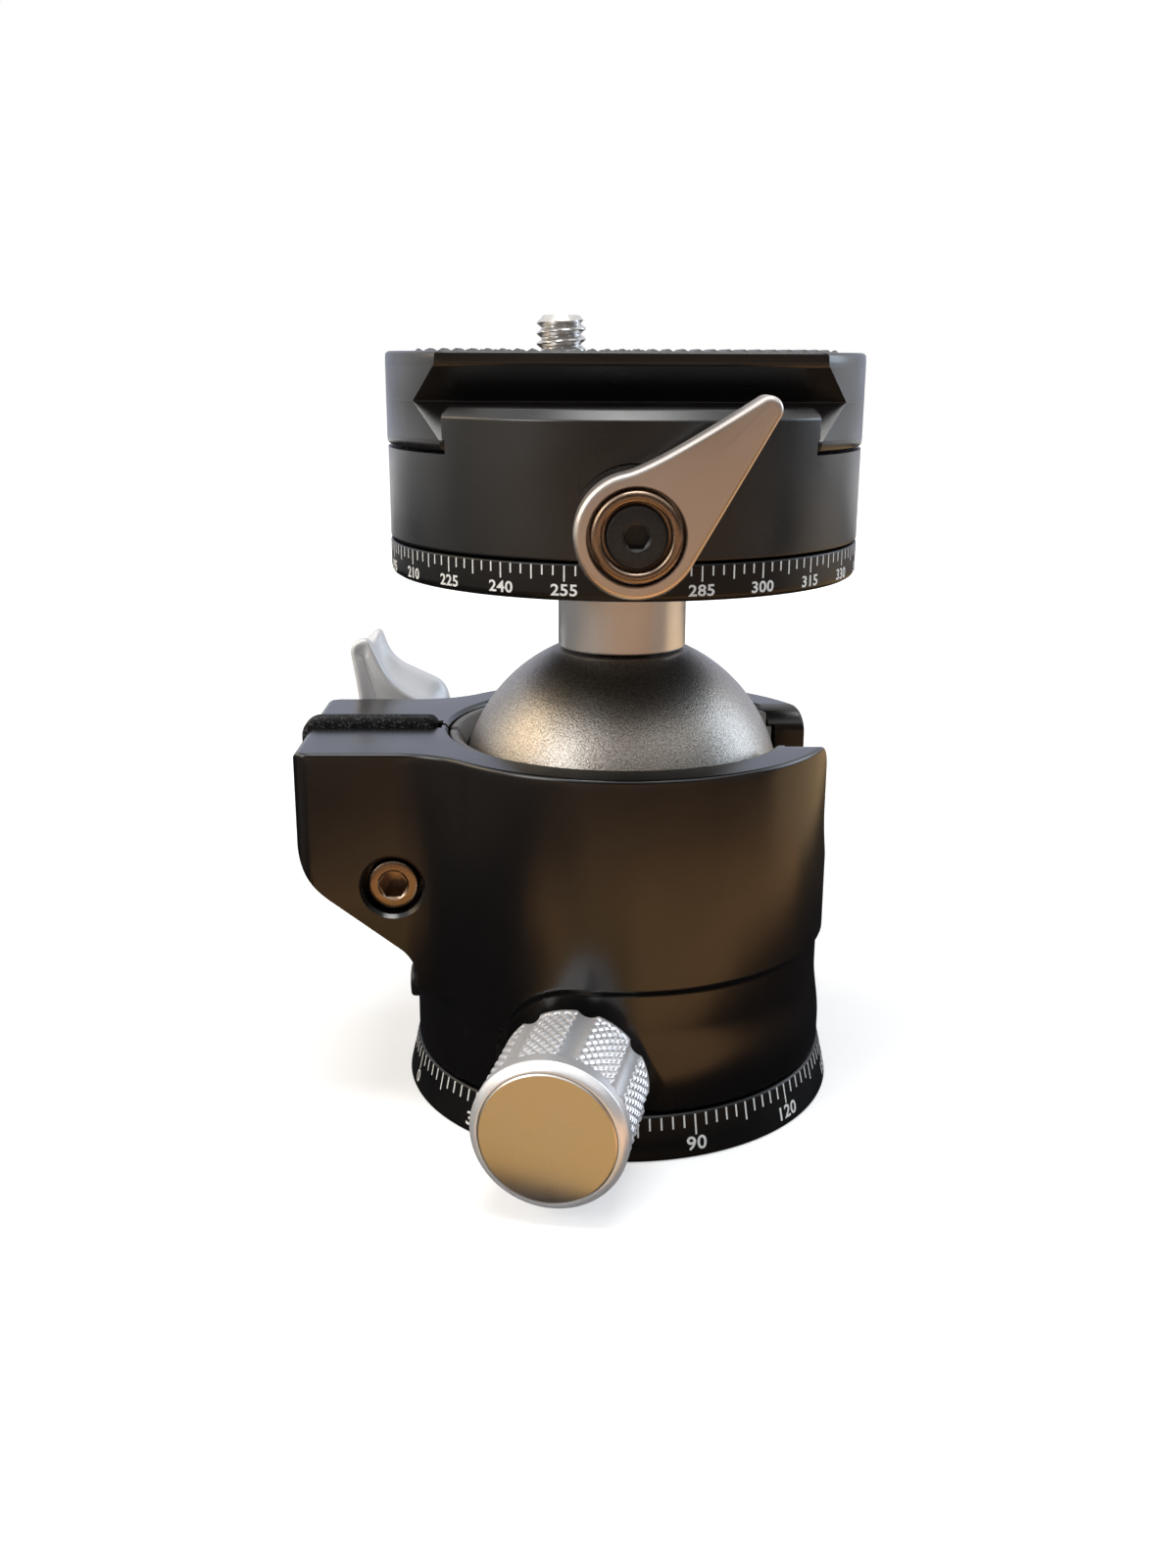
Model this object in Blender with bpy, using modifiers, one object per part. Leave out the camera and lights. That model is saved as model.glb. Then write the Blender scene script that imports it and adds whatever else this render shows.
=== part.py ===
"""Tripod ball head with a two-eared split clamp, a panning base and a panning dovetail clamp.

Origin on the panning axis at the underside of the base, +Z up. The fixed jaw of the dovetail
clamp and its lock lever face -Y, the split of the housing faces -X and its drop notch +X.
"""
import math

import bmesh
import bpy
from mathutils import Euler, Vector

for old in list(bpy.data.objects):
    bpy.data.objects.remove(old, do_unlink=True)

MM = 0.001

# Fits that many pieces share
gap = 0.3 * MM
overrun = 2.0 * MM
edge_break = 0.4 * MM
merge_distance = 0.001 * MM

# Facets round a turned piece, by its size
fine_steps = 40
round_steps = 24
small_steps = 12
screw_steps = 10
arc_steps = 6

# Tripod thread, its insert and the boss round it
tripod_thread_radius = 4.3 * MM
insert_wall = 1.9 * MM
insert_radius = tripod_thread_radius + insert_wall
boss_wall = 1.7 * MM
base_boss_radius = insert_radius + gap + boss_wall

# Screws of the panning spindle, then the spindle under the ball
spindle_screw_radius = 1.4 * MM
spindle_screw_head_radius = 2.7 * MM
spindle_screw_head_height = 1.6 * MM
spindle_screw_length = 8.4 * MM
spindle_screw_count = 3
spindle_screw_wall = 2.1 * MM
spindle_skin = 0.6 * MM
spindle_bolt_circle = base_boss_radius + gap + spindle_screw_wall + spindle_screw_radius
spindle_radius = spindle_bolt_circle + spindle_screw_radius + spindle_skin
spindle_height = 10.0 * MM
pan_lock_rise = 5.4 * MM
groove_depth = 1.3 * MM
retaining_screw_radius = 2.4 * MM
retaining_screw_head_radius = 4.2 * MM
retaining_screw_length = 5.4 * MM
retaining_washer_overlap = 2.2 * MM
retaining_washer_thickness = 1.5 * MM
retaining_washer_radius = spindle_radius + retaining_washer_overlap

# Bearing washer between the base and the housing
bearing_offset = 1.5 * MM
bearing_width = 6.0 * MM
bearing_thickness = 0.7 * MM
bearing_inner_radius = spindle_radius + bearing_offset
bearing_outer_radius = bearing_inner_radius + bearing_width

# Ball and the stem on it
ball_radius = 21.4 * MM
ball_clearance = 1.2 * MM
stem_radius = 8.4 * MM
stem_length = 30.5 * MM
stem_bolt_radius = 3.8 * MM
stem_bolt_depth = 16.0 * MM
stem_bolt_head_radius = 6.3 * MM
stem_bolt_head_height = 5.0 * MM
stem_hex_radius = 3.4 * MM
stem_hex_depth = 2.6 * MM

# Ball seat: a spring under a cup, and two liner shells in the jaws of the split
liner_thickness = 2.3 * MM
liner_drop = 9.4 * MM
liner_slit_half_width = 0.9 * MM
liner_notch_spare = 0.4 * MM
cup_step = 3.4 * MM
cup_clearance = 1.0 * MM
cup_spring_width = 3.0 * MM
cup_spring_thickness = 0.8 * MM
cup_spring_rise = 1.0 * MM
washer_chamber_depth = 2.6 * MM
seat_radius = ball_radius + gap
liner_chamber_radius = seat_radius + liner_thickness
cup_chamber_radius = liner_chamber_radius - cup_step

# Housing: a turned body with two ears on its -X side
housing_wall = 4.05 * MM
housing_radius = liner_chamber_radius + housing_wall
rim_rise = 8.9 * MM
lip_thickness = 2.1 * MM
throat_land = 0.3 * MM
throat_clearance = 0.4 * MM
mouth_flare = 1.2 * MM
throat_radius = ball_radius + throat_clearance
mouth_radius = throat_radius + mouth_flare
ear_length = 13.75 * MM
ear_half_width = 15.7 * MM
ear_fillet = 12.0 * MM
ear_corner = 2.2 * MM
ear_knee_drop = 16.1 * MM
ear_knee_round = 6.0 * MM
ear_slope_height = 11.8 * MM
ear_foot_inset = 1.05 * MM
ear_foot_round = 4.0 * MM
ear_foot_depth = 4.2 * MM
ear_root_depth = 8.6 * MM
ear_reach = housing_radius + ear_length
ear_foot_reach = housing_radius - ear_foot_inset
ear_root = cup_chamber_radius - ear_root_depth
slit_half_width = 0.5 * MM
slit_floor_rise = 2.0 * MM
slit_relief_radius = 1.4 * MM
notch_spare = 0.6 * MM
notch_corner = 3.5 * MM
notch_half_width = stem_radius + notch_spare
band_rise = 8.8 * MM
band_height = 7.9 * MM
band_depth = 0.5 * MM
band_step = 1.2 * MM
band_start = -6.0 * MM

# Base disc with the lower degree scale, under the housing
base_flare = 1.45 * MM
base_shoulder = 0.15 * MM
base_height = 5.7 * MM
boss_rise = 3.3 * MM
base_radius = housing_radius + base_flare
base_top_radius = housing_radius + base_shoulder
base_boss_height = base_height + boss_rise

# Stop screw low on the left of the housing
stop_screw_rise = 6.3 * MM
stop_screw_radius = 1.5 * MM
stop_screw_length = 6.05 * MM
stop_head_radius = 2.4 * MM
stop_head_height = 0.8 * MM
stop_screw_start = housing_radius - stop_screw_length

# Rubber strip over the split between the ears
seal_half_width = 1.5 * MM
seal_height = 3.2 * MM
seal_proud = 1.1 * MM
seal_setback = 1.7 * MM
seal_overhang = 0.4 * MM
seal_end_reach = mouth_radius + seal_setback

# Clamp bolt through the ears and the wing lever on its rear end
clamp_bolt_offset = 1.55 * MM
clamp_bolt_drop = 17.6 * MM
clamp_bolt_radius = 2.5 * MM
clamp_bolt_head_radius = 3.3 * MM
clamp_bolt_head_length = 4.2 * MM
clamp_bolt_sunk = 0.9 * MM
clamp_bolt_hex_radius = 1.75 * MM
clamp_bolt_hex_depth = 2.2 * MM
counterbore_margin = 0.55 * MM
spot_face_margin = 1.8 * MM
lever_washer_margin = 0.6 * MM
lever_washer_thickness = 1.0 * MM
lever_hub_radius = 7.0 * MM
lever_hub_length = 10.6 * MM
lever_insert_wall = 1.7 * MM
lever_insert_length = 9.4 * MM
clamp_bolt_reach = housing_radius + clamp_bolt_offset
counterbore_radius = clamp_bolt_head_radius + counterbore_margin
spot_face_radius = lever_hub_radius + spot_face_margin
lever_washer_radius = lever_hub_radius - lever_washer_margin
lever_insert_radius = clamp_bolt_radius + lever_insert_wall
wing_length = 26.0 * MM
wing_half_width = 6.4 * MM
wing_half_depth = 5.2 * MM
wing_depth = 7.3 * MM
wing_lean = math.radians(-18.0)
wing_reach_shares = (0.10, 0.32, 0.50, 0.66, 0.80, 0.91, 1.0)
wing_width_shares = (0.95, 0.92, 0.72, 0.56, 0.46, 0.38, 0.18)
wing_depth_shares = (0.80, 0.84, 0.90, 0.96, 1.0, 0.86, 0.50)
wing_sweep_shares = (0.0, 0.0, -0.02, -0.10, -0.26, -0.42, -0.50)
wing_setback_shares = (0.73, 0.76, 0.83, 0.93, 1.0, 1.0, 1.0)

# Pan lock: a knurled knob on a screw that pushes a brass shoe into the spindle's groove
pan_knob_azimuth = math.radians(-102.6)
pan_knob_clearance = 0.2 * MM
pan_knob_length = 14.9 * MM
pan_knob_radius = 9.4 * MM
pan_knob_rim = 4.0 * MM
knob_bevel = 1.1 * MM
knob_cap_thickness = 1.3 * MM
knob_cap_margin = 1.3 * MM
pan_seat_margin = 1.9 * MM
pan_seat_depth = 0.55 * MM
pan_screw_radius = 3.0 * MM
pan_screw_setback = 5.0 * MM
pan_screw_depth = 8.3 * MM
shoe_radius = 2.6 * MM
shoe_tip_radius = 0.5 * MM
flute_radius = 1.25 * MM
flute_count = 8
pan_knob_back = base_radius + pan_knob_clearance
pan_knob_front = pan_knob_back + pan_knob_length
pan_seat_radius = pan_knob_radius + pan_seat_margin
pan_seat_reach = housing_radius - pan_seat_depth
pan_screw_start = spindle_radius + pan_screw_setback
pan_screw_end = pan_knob_back + pan_screw_depth

# Upper spindle with its washer and screws, bolted to the ball
top_washer_screw_radius = 1.1 * MM
top_washer_screw_head_radius = 2.0 * MM
top_washer_screw_head_height = 1.1 * MM
top_washer_screw_length = 3.6 * MM
top_washer_screw_count = 3
top_washer_screw_wall = 0.8 * MM
top_spindle_skin = 1.2 * MM
top_spindle_height = 7.6 * MM
top_groove_depth = 1.2 * MM
top_lock_rise = 3.4 * MM
top_counterbore_depth = 3.6 * MM
top_washer_overlap = 2.6 * MM
top_washer_thickness = 1.5 * MM
top_washer_bolt_circle = stem_bolt_head_radius + gap + top_washer_screw_wall + top_washer_screw_head_radius
top_spindle_radius = top_washer_bolt_circle + top_washer_screw_radius + top_spindle_skin
top_washer_radius = top_spindle_radius + top_washer_overlap

# Upper degree ring and its bearing washer
ring_height = 3.8 * MM
ring_bevel = 1.0 * MM
top_bearing_offset = 2.3 * MM
top_bearing_inner_radius = top_spindle_radius + top_bearing_offset
top_bearing_outer_radius = top_bearing_inner_radius + bearing_width

# Quick-release plate with rubber pads and the camera screw
camera_screw_offset = -8.0 * MM
camera_thread_radius = 3.1 * MM
camera_thread_proud = 4.4 * MM
camera_head_radius = 7.0 * MM
camera_head_thickness = 2.0 * MM
camera_slot_half_width = 0.6 * MM
camera_slot_depth = 1.0 * MM
camera_washer_thickness = 0.8 * MM
slot_spare = 0.4 * MM
slot_half_length = 16.0 * MM
recess_margin = 0.8 * MM
recess_end = 4.5 * MM
recess_depth = 4.6 * MM
plate_overhang = 0.1 * MM
plate_height = 11.1 * MM
plate_half_width = 20.6 * MM
jaw_width = 9.3 * MM
plate_foot_inset = 0.1 * MM
plate_waist_inset = 4.0 * MM
plate_foot_rise = 1.15 * MM
plate_waist_rise = 5.5 * MM
plate_flange = 1.5 * MM
plate_bevel = 0.6 * MM
pad_slot_margin = 1.7 * MM
pad_side_margin = 3.2 * MM
pad_end_margin = 3.0 * MM
pad_depth = 1.1 * MM
pad_proud = 0.35 * MM
clamp_radius = plate_half_width + jaw_width
ring_radius = clamp_radius
plate_radius = clamp_radius + plate_overhang
slot_half_width = camera_thread_radius + slot_spare
recess_half_width = camera_head_radius + recess_margin
recess_half_length = slot_half_length + recess_end
plate_foot_half_width = plate_half_width - plate_foot_inset
plate_waist = plate_half_width - plate_waist_inset
pad_inner = slot_half_width + pad_slot_margin
pad_outer = plate_half_width - pad_side_margin
pad_radius = plate_radius - pad_end_margin

# Dovetail clamp: base with the fixed jaw, moving jaw behind
clamp_height = 11.1 * MM
jaw_waist_gap = 0.5 * MM
jaw_bevel = 1.5 * MM
jaw_end_inset = 8.2 * MM
jaw_corner = 1.2 * MM
jaw_split_inset = 0.1 * MM
guide_pin_radius = 1.5 * MM
guide_pin_inset = 2.7 * MM
guide_pin_grip = 8.5 * MM
guide_pin_proud = 3.5 * MM
guide_rise = 4.8 * MM
jaw_spring_radius = 1.9 * MM
jaw_spring_wire = 0.35 * MM
jaw_spring_inset = 6.0 * MM
jaw_spring_grip = 3.9 * MM
jaw_spring_proud = 2.9 * MM
jaw_spring_turns = 4
jaw_spring_sides = 8
stud_radius = 2.4 * MM
stud_rise = 5.4 * MM
stud_setback = 0.5 * MM
stud_depth = 11.7 * MM
jaw_seat_depth = 1.0 * MM
jaw_seat_margin = 0.8 * MM
jaw_washer_radius = 5.6 * MM
jaw_washer_thickness = 0.8 * MM
jaw_knob_radius = 8.6 * MM
jaw_knob_length = 15.0 * MM
jaw_knob_rim = 3.0 * MM
jaw_half_length = clamp_radius - jaw_end_inset
jaw_split = plate_waist - jaw_split_inset
guide_pin_spacing = jaw_half_length - guide_pin_inset
jaw_spring_spacing = guide_pin_spacing - jaw_spring_inset
guide_pin_start = jaw_split - guide_pin_grip
guide_pin_end = jaw_split + guide_pin_proud
jaw_spring_start = jaw_split - jaw_spring_grip
jaw_spring_end = jaw_split + jaw_spring_proud
jaw_seat_reach = clamp_radius - jaw_seat_depth
jaw_seat_radius = jaw_washer_radius + jaw_seat_margin
jaw_knob_start = jaw_seat_reach + gap + jaw_washer_thickness + gap
stud_start = top_washer_radius + stud_setback
stud_end = jaw_knob_start + stud_depth

# Lock lever of the upper pan, in front of the clamp
lever_hub = 6.8 * MM
lever_seat_margin = 0.4 * MM
lever_seat_depth = 0.6 * MM
lever_bush_radius = 3.4 * MM
lever_bush_length = 1.1 * MM
lever_thickness = 4.8 * MM
lever_tip = 1.45 * MM
lever_arm = 19.1 * MM
lever_angle = math.radians(44.0)
lever_bevel = 0.7 * MM
lever_ring_radius = 5.0 * MM
lever_ring_wall = 1.25 * MM
lever_ring_proud = 0.3 * MM
lever_screw_head_length = 3.0 * MM
lever_screw_radius = 2.4 * MM
lever_screw_setback = 5.3 * MM
lever_hex_radius = 1.45 * MM
lever_hex_depth = 1.8 * MM
top_shoe_radius = 2.2 * MM
lever_seat_radius = lever_hub + lever_seat_margin
lever_seat_reach = clamp_radius - lever_seat_depth
lever_back = lever_seat_reach + gap + lever_bush_length + gap
lever_front = lever_back + lever_thickness
lever_ring_bore = lever_ring_radius - lever_ring_wall
lever_screw_end = top_spindle_radius + lever_screw_setback

# Heights, from the underside of the base up
housing_bottom = base_height + gap
spindle_bottom = base_height + gap
spindle_top = spindle_bottom + spindle_height
pan_lock_height = spindle_bottom + pan_lock_rise
stop_screw_height = housing_bottom + stop_screw_rise
band_bottom = housing_bottom + band_rise
band_top = band_bottom + band_height
retaining_washer_bottom = spindle_top + gap
cup_ledge = spindle_top + washer_chamber_depth
cup_bottom = cup_ledge + gap + cup_spring_rise + cup_spring_thickness + gap
ball_centre_height = retaining_washer_bottom + retaining_washer_thickness + ball_clearance + ball_radius
liner_chamber_floor = ball_centre_height - liner_drop
rim_height = ball_centre_height + rim_rise
liner_chamber_roof = rim_height - lip_thickness
slit_floor = cup_ledge + slit_floor_rise
ear_knee_height = rim_height - ear_knee_drop
ear_foot_height = ear_knee_height - ear_slope_height
ear_bottom = ear_foot_height - ear_foot_depth
clamp_bolt_height = rim_height - clamp_bolt_drop
stem_foot = ball_centre_height + math.sqrt(ball_radius**2 - (stem_radius + edge_break) ** 2)
ring_bottom = ball_centre_height + stem_length
ring_top = ring_bottom + ring_height
clamp_bottom = ring_top + gap
top_lock_height = clamp_bottom + top_lock_rise
guide_height = clamp_bottom + guide_rise
stud_height = clamp_bottom + stud_rise
top_spindle_top = clamp_bottom + top_spindle_height
top_washer_bottom = top_spindle_top + gap
clamp_floor_height = clamp_bottom + clamp_height
plate_bottom = clamp_floor_height + gap
plate_top = plate_bottom + plate_height
plate_foot_height = plate_bottom + plate_foot_rise
plate_waist_height = plate_bottom + plate_waist_rise
recess_roof = plate_bottom + recess_depth
jaw_top = plate_waist_height - jaw_waist_gap

# Depths behind the ears
rear_face = ear_half_width + gap
hub_start = rear_face + lever_washer_thickness + gap

# Turns that point a piece's own Z along another direction
toward_front = (math.radians(90), 0, 0)
toward_back = (math.radians(-90), 0, 0)
toward_right = (math.radians(90), 0, math.radians(90))
toward_left = (math.radians(90), 0, math.radians(-90))
toward_pan_knob = (0, math.radians(90), pan_knob_azimuth)

model = bpy.data.collections.new("tripod_ball_head")
cutters = bpy.data.collections.new("cutters")
bpy.context.scene.collection.children.link(model)
bpy.context.scene.collection.children.link(cutters)

black_anodised = ((0.018, 0.018, 0.019), 0.38, 0.85)
ball_black = ((0.028, 0.027, 0.027), 0.42, 0.9)
silver_anodised = ((0.66, 0.66, 0.67), 0.36, 0.95)
stainless = ((0.62, 0.60, 0.57), 0.22, 1.0)
black_steel = ((0.03, 0.03, 0.03), 0.35, 0.9)
brass = ((0.72, 0.52, 0.22), 0.35, 1.0)
acetal = ((0.42, 0.42, 0.41), 0.5, 0.0)
bearing_plastic = ((0.82, 0.80, 0.74), 0.45, 0.0)
rubber = ((0.016, 0.016, 0.016), 0.85, 0.0)


def place(piece, location=(0, 0, 0), turn=(0, 0, 0)):
    """Sets where a piece's own origin lies and which way it is turned."""
    piece.location = location
    piece.rotation_euler = turn
    return piece


def finish(piece, look):
    """Gives a piece its own material from a colour, a roughness and a metallic value."""
    colour, roughness, metallic = look
    material = bpy.data.materials.new(piece.name)
    material.use_nodes = True
    shader = material.node_tree.nodes["Principled BSDF"]
    shader.inputs["Base Color"].default_value = (*colour, 1)
    shader.inputs["Roughness"].default_value = roughness
    shader.inputs["Metallic"].default_value = metallic
    piece.data.materials.append(material)
    for face in piece.data.polygons:
        face.use_smooth = True
    return piece


def add(name, mesh, collection):
    """Puts a mesh into the scene as an object of the model or as a cutter."""
    piece = bpy.data.objects.new(name, mesh)
    collection.objects.link(piece)
    if collection is cutters:
        piece.hide_render = True
        piece.display_type = "WIRE"
    return piece


def turned(name, profile, steps, closed=False, collection=model):
    """A turned piece: the profile's (radius, height) points carried once round local Z."""
    mesh = bpy.data.meshes.new(name)
    count = len(profile)
    edges = [(i, i + 1) for i in range(count - 1)]
    if closed:
        edges.append((count - 1, 0))
    mesh.from_pydata([(radius, 0, height) for radius, height in profile], edges, [])
    piece = add(name, mesh, collection)
    screw = piece.modifiers.new("turn", "SCREW")
    screw.steps = steps
    screw.render_steps = steps
    screw.use_merge_vertices = True
    screw.merge_threshold = merge_distance
    screw.use_smooth_shade = True
    return piece


def ring(name, inner, outer, bottom, top, steps, collection=model):
    """A plain ring or washer."""
    profile = [(outer, top), (outer, bottom), (inner, bottom), (inner, top)]
    return turned(name, profile, steps, closed=True, collection=collection)


def rod(name, radius, bottom, top, steps, bevel=0.0, collection=model):
    """A solid round bar, with a chamfer at both ends where a bevel is given."""
    profile = [(0, top), (radius - bevel, top), (radius, top - bevel)]
    profile += [(radius, bottom + bevel), (radius - bevel, bottom), (0, bottom)]
    if not bevel:
        profile = [(0, top), (radius, top), (radius, bottom), (0, bottom)]
    return turned(name, profile, steps, collection=collection)


def arc(centre, radius, start, end, steps=arc_steps):
    """Points of an arc, from one angle to another, both ends included."""
    angles = [start + (end - start) * i / steps for i in range(steps + 1)]
    return [(centre[0] + radius * math.cos(a), centre[1] + radius * math.sin(a)) for a in angles]


def rounded(corners, steps=arc_steps):
    """An outline with its corners rounded: each corner is (x, y, radius), a radius of 0 stays sharp."""
    points = []
    count = len(corners)
    for i, (x, y, radius) in enumerate(corners):
        corner = Vector((x, y))
        if not radius:
            points.append((x, y))
            continue
        to_last = (Vector(corners[i - 1][:2]) - corner).normalized()
        to_next = (Vector(corners[(i + 1) % count][:2]) - corner).normalized()
        half = to_last.angle(to_next) / 2
        centre = corner + (to_last + to_next).normalized() * (radius / math.sin(half))
        first = corner + to_last * (radius / math.tan(half)) - centre
        last = corner + to_next * (radius / math.tan(half)) - centre
        start = math.atan2(first.y, first.x)
        sweep = math.atan2(first.cross(last), first.dot(last))
        points += arc(centre, radius, start, start + sweep, steps)
    return points


def slab(name, outlines, bottom, top, collection=model):
    """A flat outline, or an outline with holes, given a thickness along local Z."""
    curve = bpy.data.curves.new(name, "CURVE")
    curve.dimensions = "2D"
    curve.fill_mode = "BOTH"
    curve.extrude = (top - bottom) / 2
    for outline in outlines:
        spline = curve.splines.new("POLY")
        spline.points.add(len(outline) - 1)
        for point, (x, y) in zip(spline.points, outline):
            point.co = (x, y, 0, 1)
        spline.use_cyclic_u = True
    guide = bpy.data.objects.new(name, curve)
    cutters.objects.link(guide)
    bpy.context.view_layer.update()
    mesh = bpy.data.meshes.new_from_object(guide.evaluated_get(bpy.context.evaluated_depsgraph_get()))
    bpy.data.objects.remove(guide, do_unlink=True)
    work = bmesh.new()
    work.from_mesh(mesh)
    bmesh.ops.remove_doubles(work, verts=work.verts, dist=merge_distance)
    bmesh.ops.translate(work, verts=work.verts, vec=(0, 0, (top + bottom) / 2))
    bmesh.ops.recalc_face_normals(work, faces=work.faces)
    work.to_mesh(mesh)
    work.free()
    mesh.name = name
    return add(name, mesh, collection)


def box(name, low, high, collection=model):
    """A box between two corners."""
    mesh = bpy.data.meshes.new(name)
    work = bmesh.new()
    bmesh.ops.create_cube(work, size=1)
    bmesh.ops.scale(work, verts=work.verts, vec=[b - a for a, b in zip(low, high)])
    bmesh.ops.translate(work, verts=work.verts, vec=[(a + b) / 2 for a, b in zip(low, high)])
    work.to_mesh(mesh)
    work.free()
    return add(name, mesh, collection)


def combine(piece, other, operation="DIFFERENCE"):
    """Cuts, joins or intersects a piece with another."""
    boolean = piece.modifiers.new(other.name, "BOOLEAN")
    boolean.operation = operation
    boolean.object = other
    boolean.solver = "EXACT"
    return piece


def hex_socket(name, radius, face, depth, location=(0, 0, 0), turn=(0, 0, 0)):
    """A six-sided pocket for a key, cut from a face down local Z."""
    outline = arc((0, 0), radius, 0, math.tau * 5 / 6, 5)
    return place(slab(name, [outline], face - depth, face + overrun, cutters), location, turn)


def countersunk(name, screw, head, head_height, length, spare, steps, collection=model):
    """A countersunk screw with its head's face at local 0, pointing down local Z; spare widens it."""
    profile = [(0, overrun), (head + spare, overrun)] if spare else [(0, 0)]
    profile += [(head + spare, 0), (screw + spare, -head_height)]
    profile += [(screw + spare, -length - spare), (0, -length - spare)]
    return turned(name, profile, steps, collection=collection)


def on_circle(radius, index, count, start=0.0):
    """Place of one of several like pieces on a bolt circle."""
    angle = start + math.tau * index / count
    return radius * math.cos(angle), radius * math.sin(angle)


def sphere_run(radius, start, end, centre, steps):
    """Profile points on a sphere between two heights."""
    first = math.asin((start - centre) / radius)
    last = math.asin((end - centre) / radius)
    return arc((0, centre), radius, first, last, steps)


def flutes(name, radius, back, end, spot, turn):
    """Cutters for the half-round flutes round a knob's grip, each with a rounded front end."""
    heading = Euler(turn).to_matrix()
    made = []
    for i in range(flute_count):
        x, y = on_circle(radius, i, flute_count, math.pi / round_steps)
        profile = [(0, back - overrun), (flute_radius, back - overrun), (flute_radius, end - flute_radius)]
        profile += arc((0, end - flute_radius), flute_radius, 0, math.pi / 2, 3)[1:]
        cutter = turned(f"{name}_{i + 1}", profile[::-1], screw_steps, collection=cutters)
        made.append(place(cutter, Vector(spot) + heading @ Vector((x, y, 0)), turn))
    return made


# Base: the disc that carries the lower scale, with the tripod thread in its middle
def make_base():
    top = base_height
    profile = [(base_top_radius - edge_break, top), (base_top_radius, top - edge_break)]
    profile += [(base_radius, edge_break), (base_radius - edge_break, 0)]
    profile += [(insert_radius + gap, 0), (insert_radius + gap, base_boss_height)]
    profile += [(base_boss_radius, base_boss_height), (base_boss_radius, top)]
    recess_floor = top - bearing_thickness - gap
    inner = bearing_inner_radius - gap
    outer = bearing_outer_radius + gap
    profile += [(inner, top), (inner, recess_floor), (outer, recess_floor), (outer, top)]
    disc = finish(turned("base_disc", profile, fine_steps, closed=True), black_anodised)

    insert = ring("tripod_thread_insert", tripod_thread_radius, insert_radius, gap, base_boss_height, small_steps)
    finish(insert, stainless)

    washer = ring(
        "pan_bearing_washer", bearing_inner_radius, bearing_outer_radius, top - bearing_thickness, top, round_steps
    )
    finish(washer, bearing_plastic)

    pocket = base_boss_radius + gap
    pocket_roof = base_boss_height + gap
    bore = retaining_screw_radius + gap
    profile = [(spindle_radius - edge_break, spindle_top), (spindle_radius, spindle_top - edge_break)]
    profile += [(spindle_radius, pan_lock_height + groove_depth)]
    profile += [(spindle_radius - groove_depth, pan_lock_height), (spindle_radius, pan_lock_height - groove_depth)]
    profile += [(spindle_radius, spindle_bottom), (pocket, spindle_bottom), (pocket, pocket_roof)]
    profile += [(bore, pocket_roof), (bore, spindle_top)]
    spindle = finish(turned("pan_spindle", profile, round_steps, closed=True), stainless)

    for i in range(spindle_screw_count):
        x, y = on_circle(spindle_bolt_circle, i, spindle_screw_count, math.radians(90))
        spot = (x, y, gap)
        turn = (math.pi, 0, 0)
        sizes = (spindle_screw_radius, spindle_screw_head_radius, spindle_screw_head_height, spindle_screw_length)
        screw = countersunk(f"spindle_screw_{i + 1}", *sizes, 0, screw_steps)
        finish(place(screw, spot, turn), stainless)
        hole = place(countersunk(f"spindle_hole_{i + 1}", *sizes, gap, screw_steps, cutters), spot, turn)
        combine(disc, hole)
        combine(spindle, hole)

    top = retaining_washer_bottom + retaining_washer_thickness
    head = retaining_screw_head_radius
    profile = [(retaining_washer_radius, top), (retaining_washer_radius, retaining_washer_bottom)]
    profile += [(bore, retaining_washer_bottom), (head + gap, top)]
    finish(turned("pan_retaining_washer", profile, round_steps, closed=True), stainless)
    sizes = (retaining_screw_radius, head, retaining_washer_thickness, retaining_screw_length)
    finish(place(countersunk("pan_retaining_screw", *sizes, 0, small_steps), (0, 0, top)), black_steel)


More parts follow.
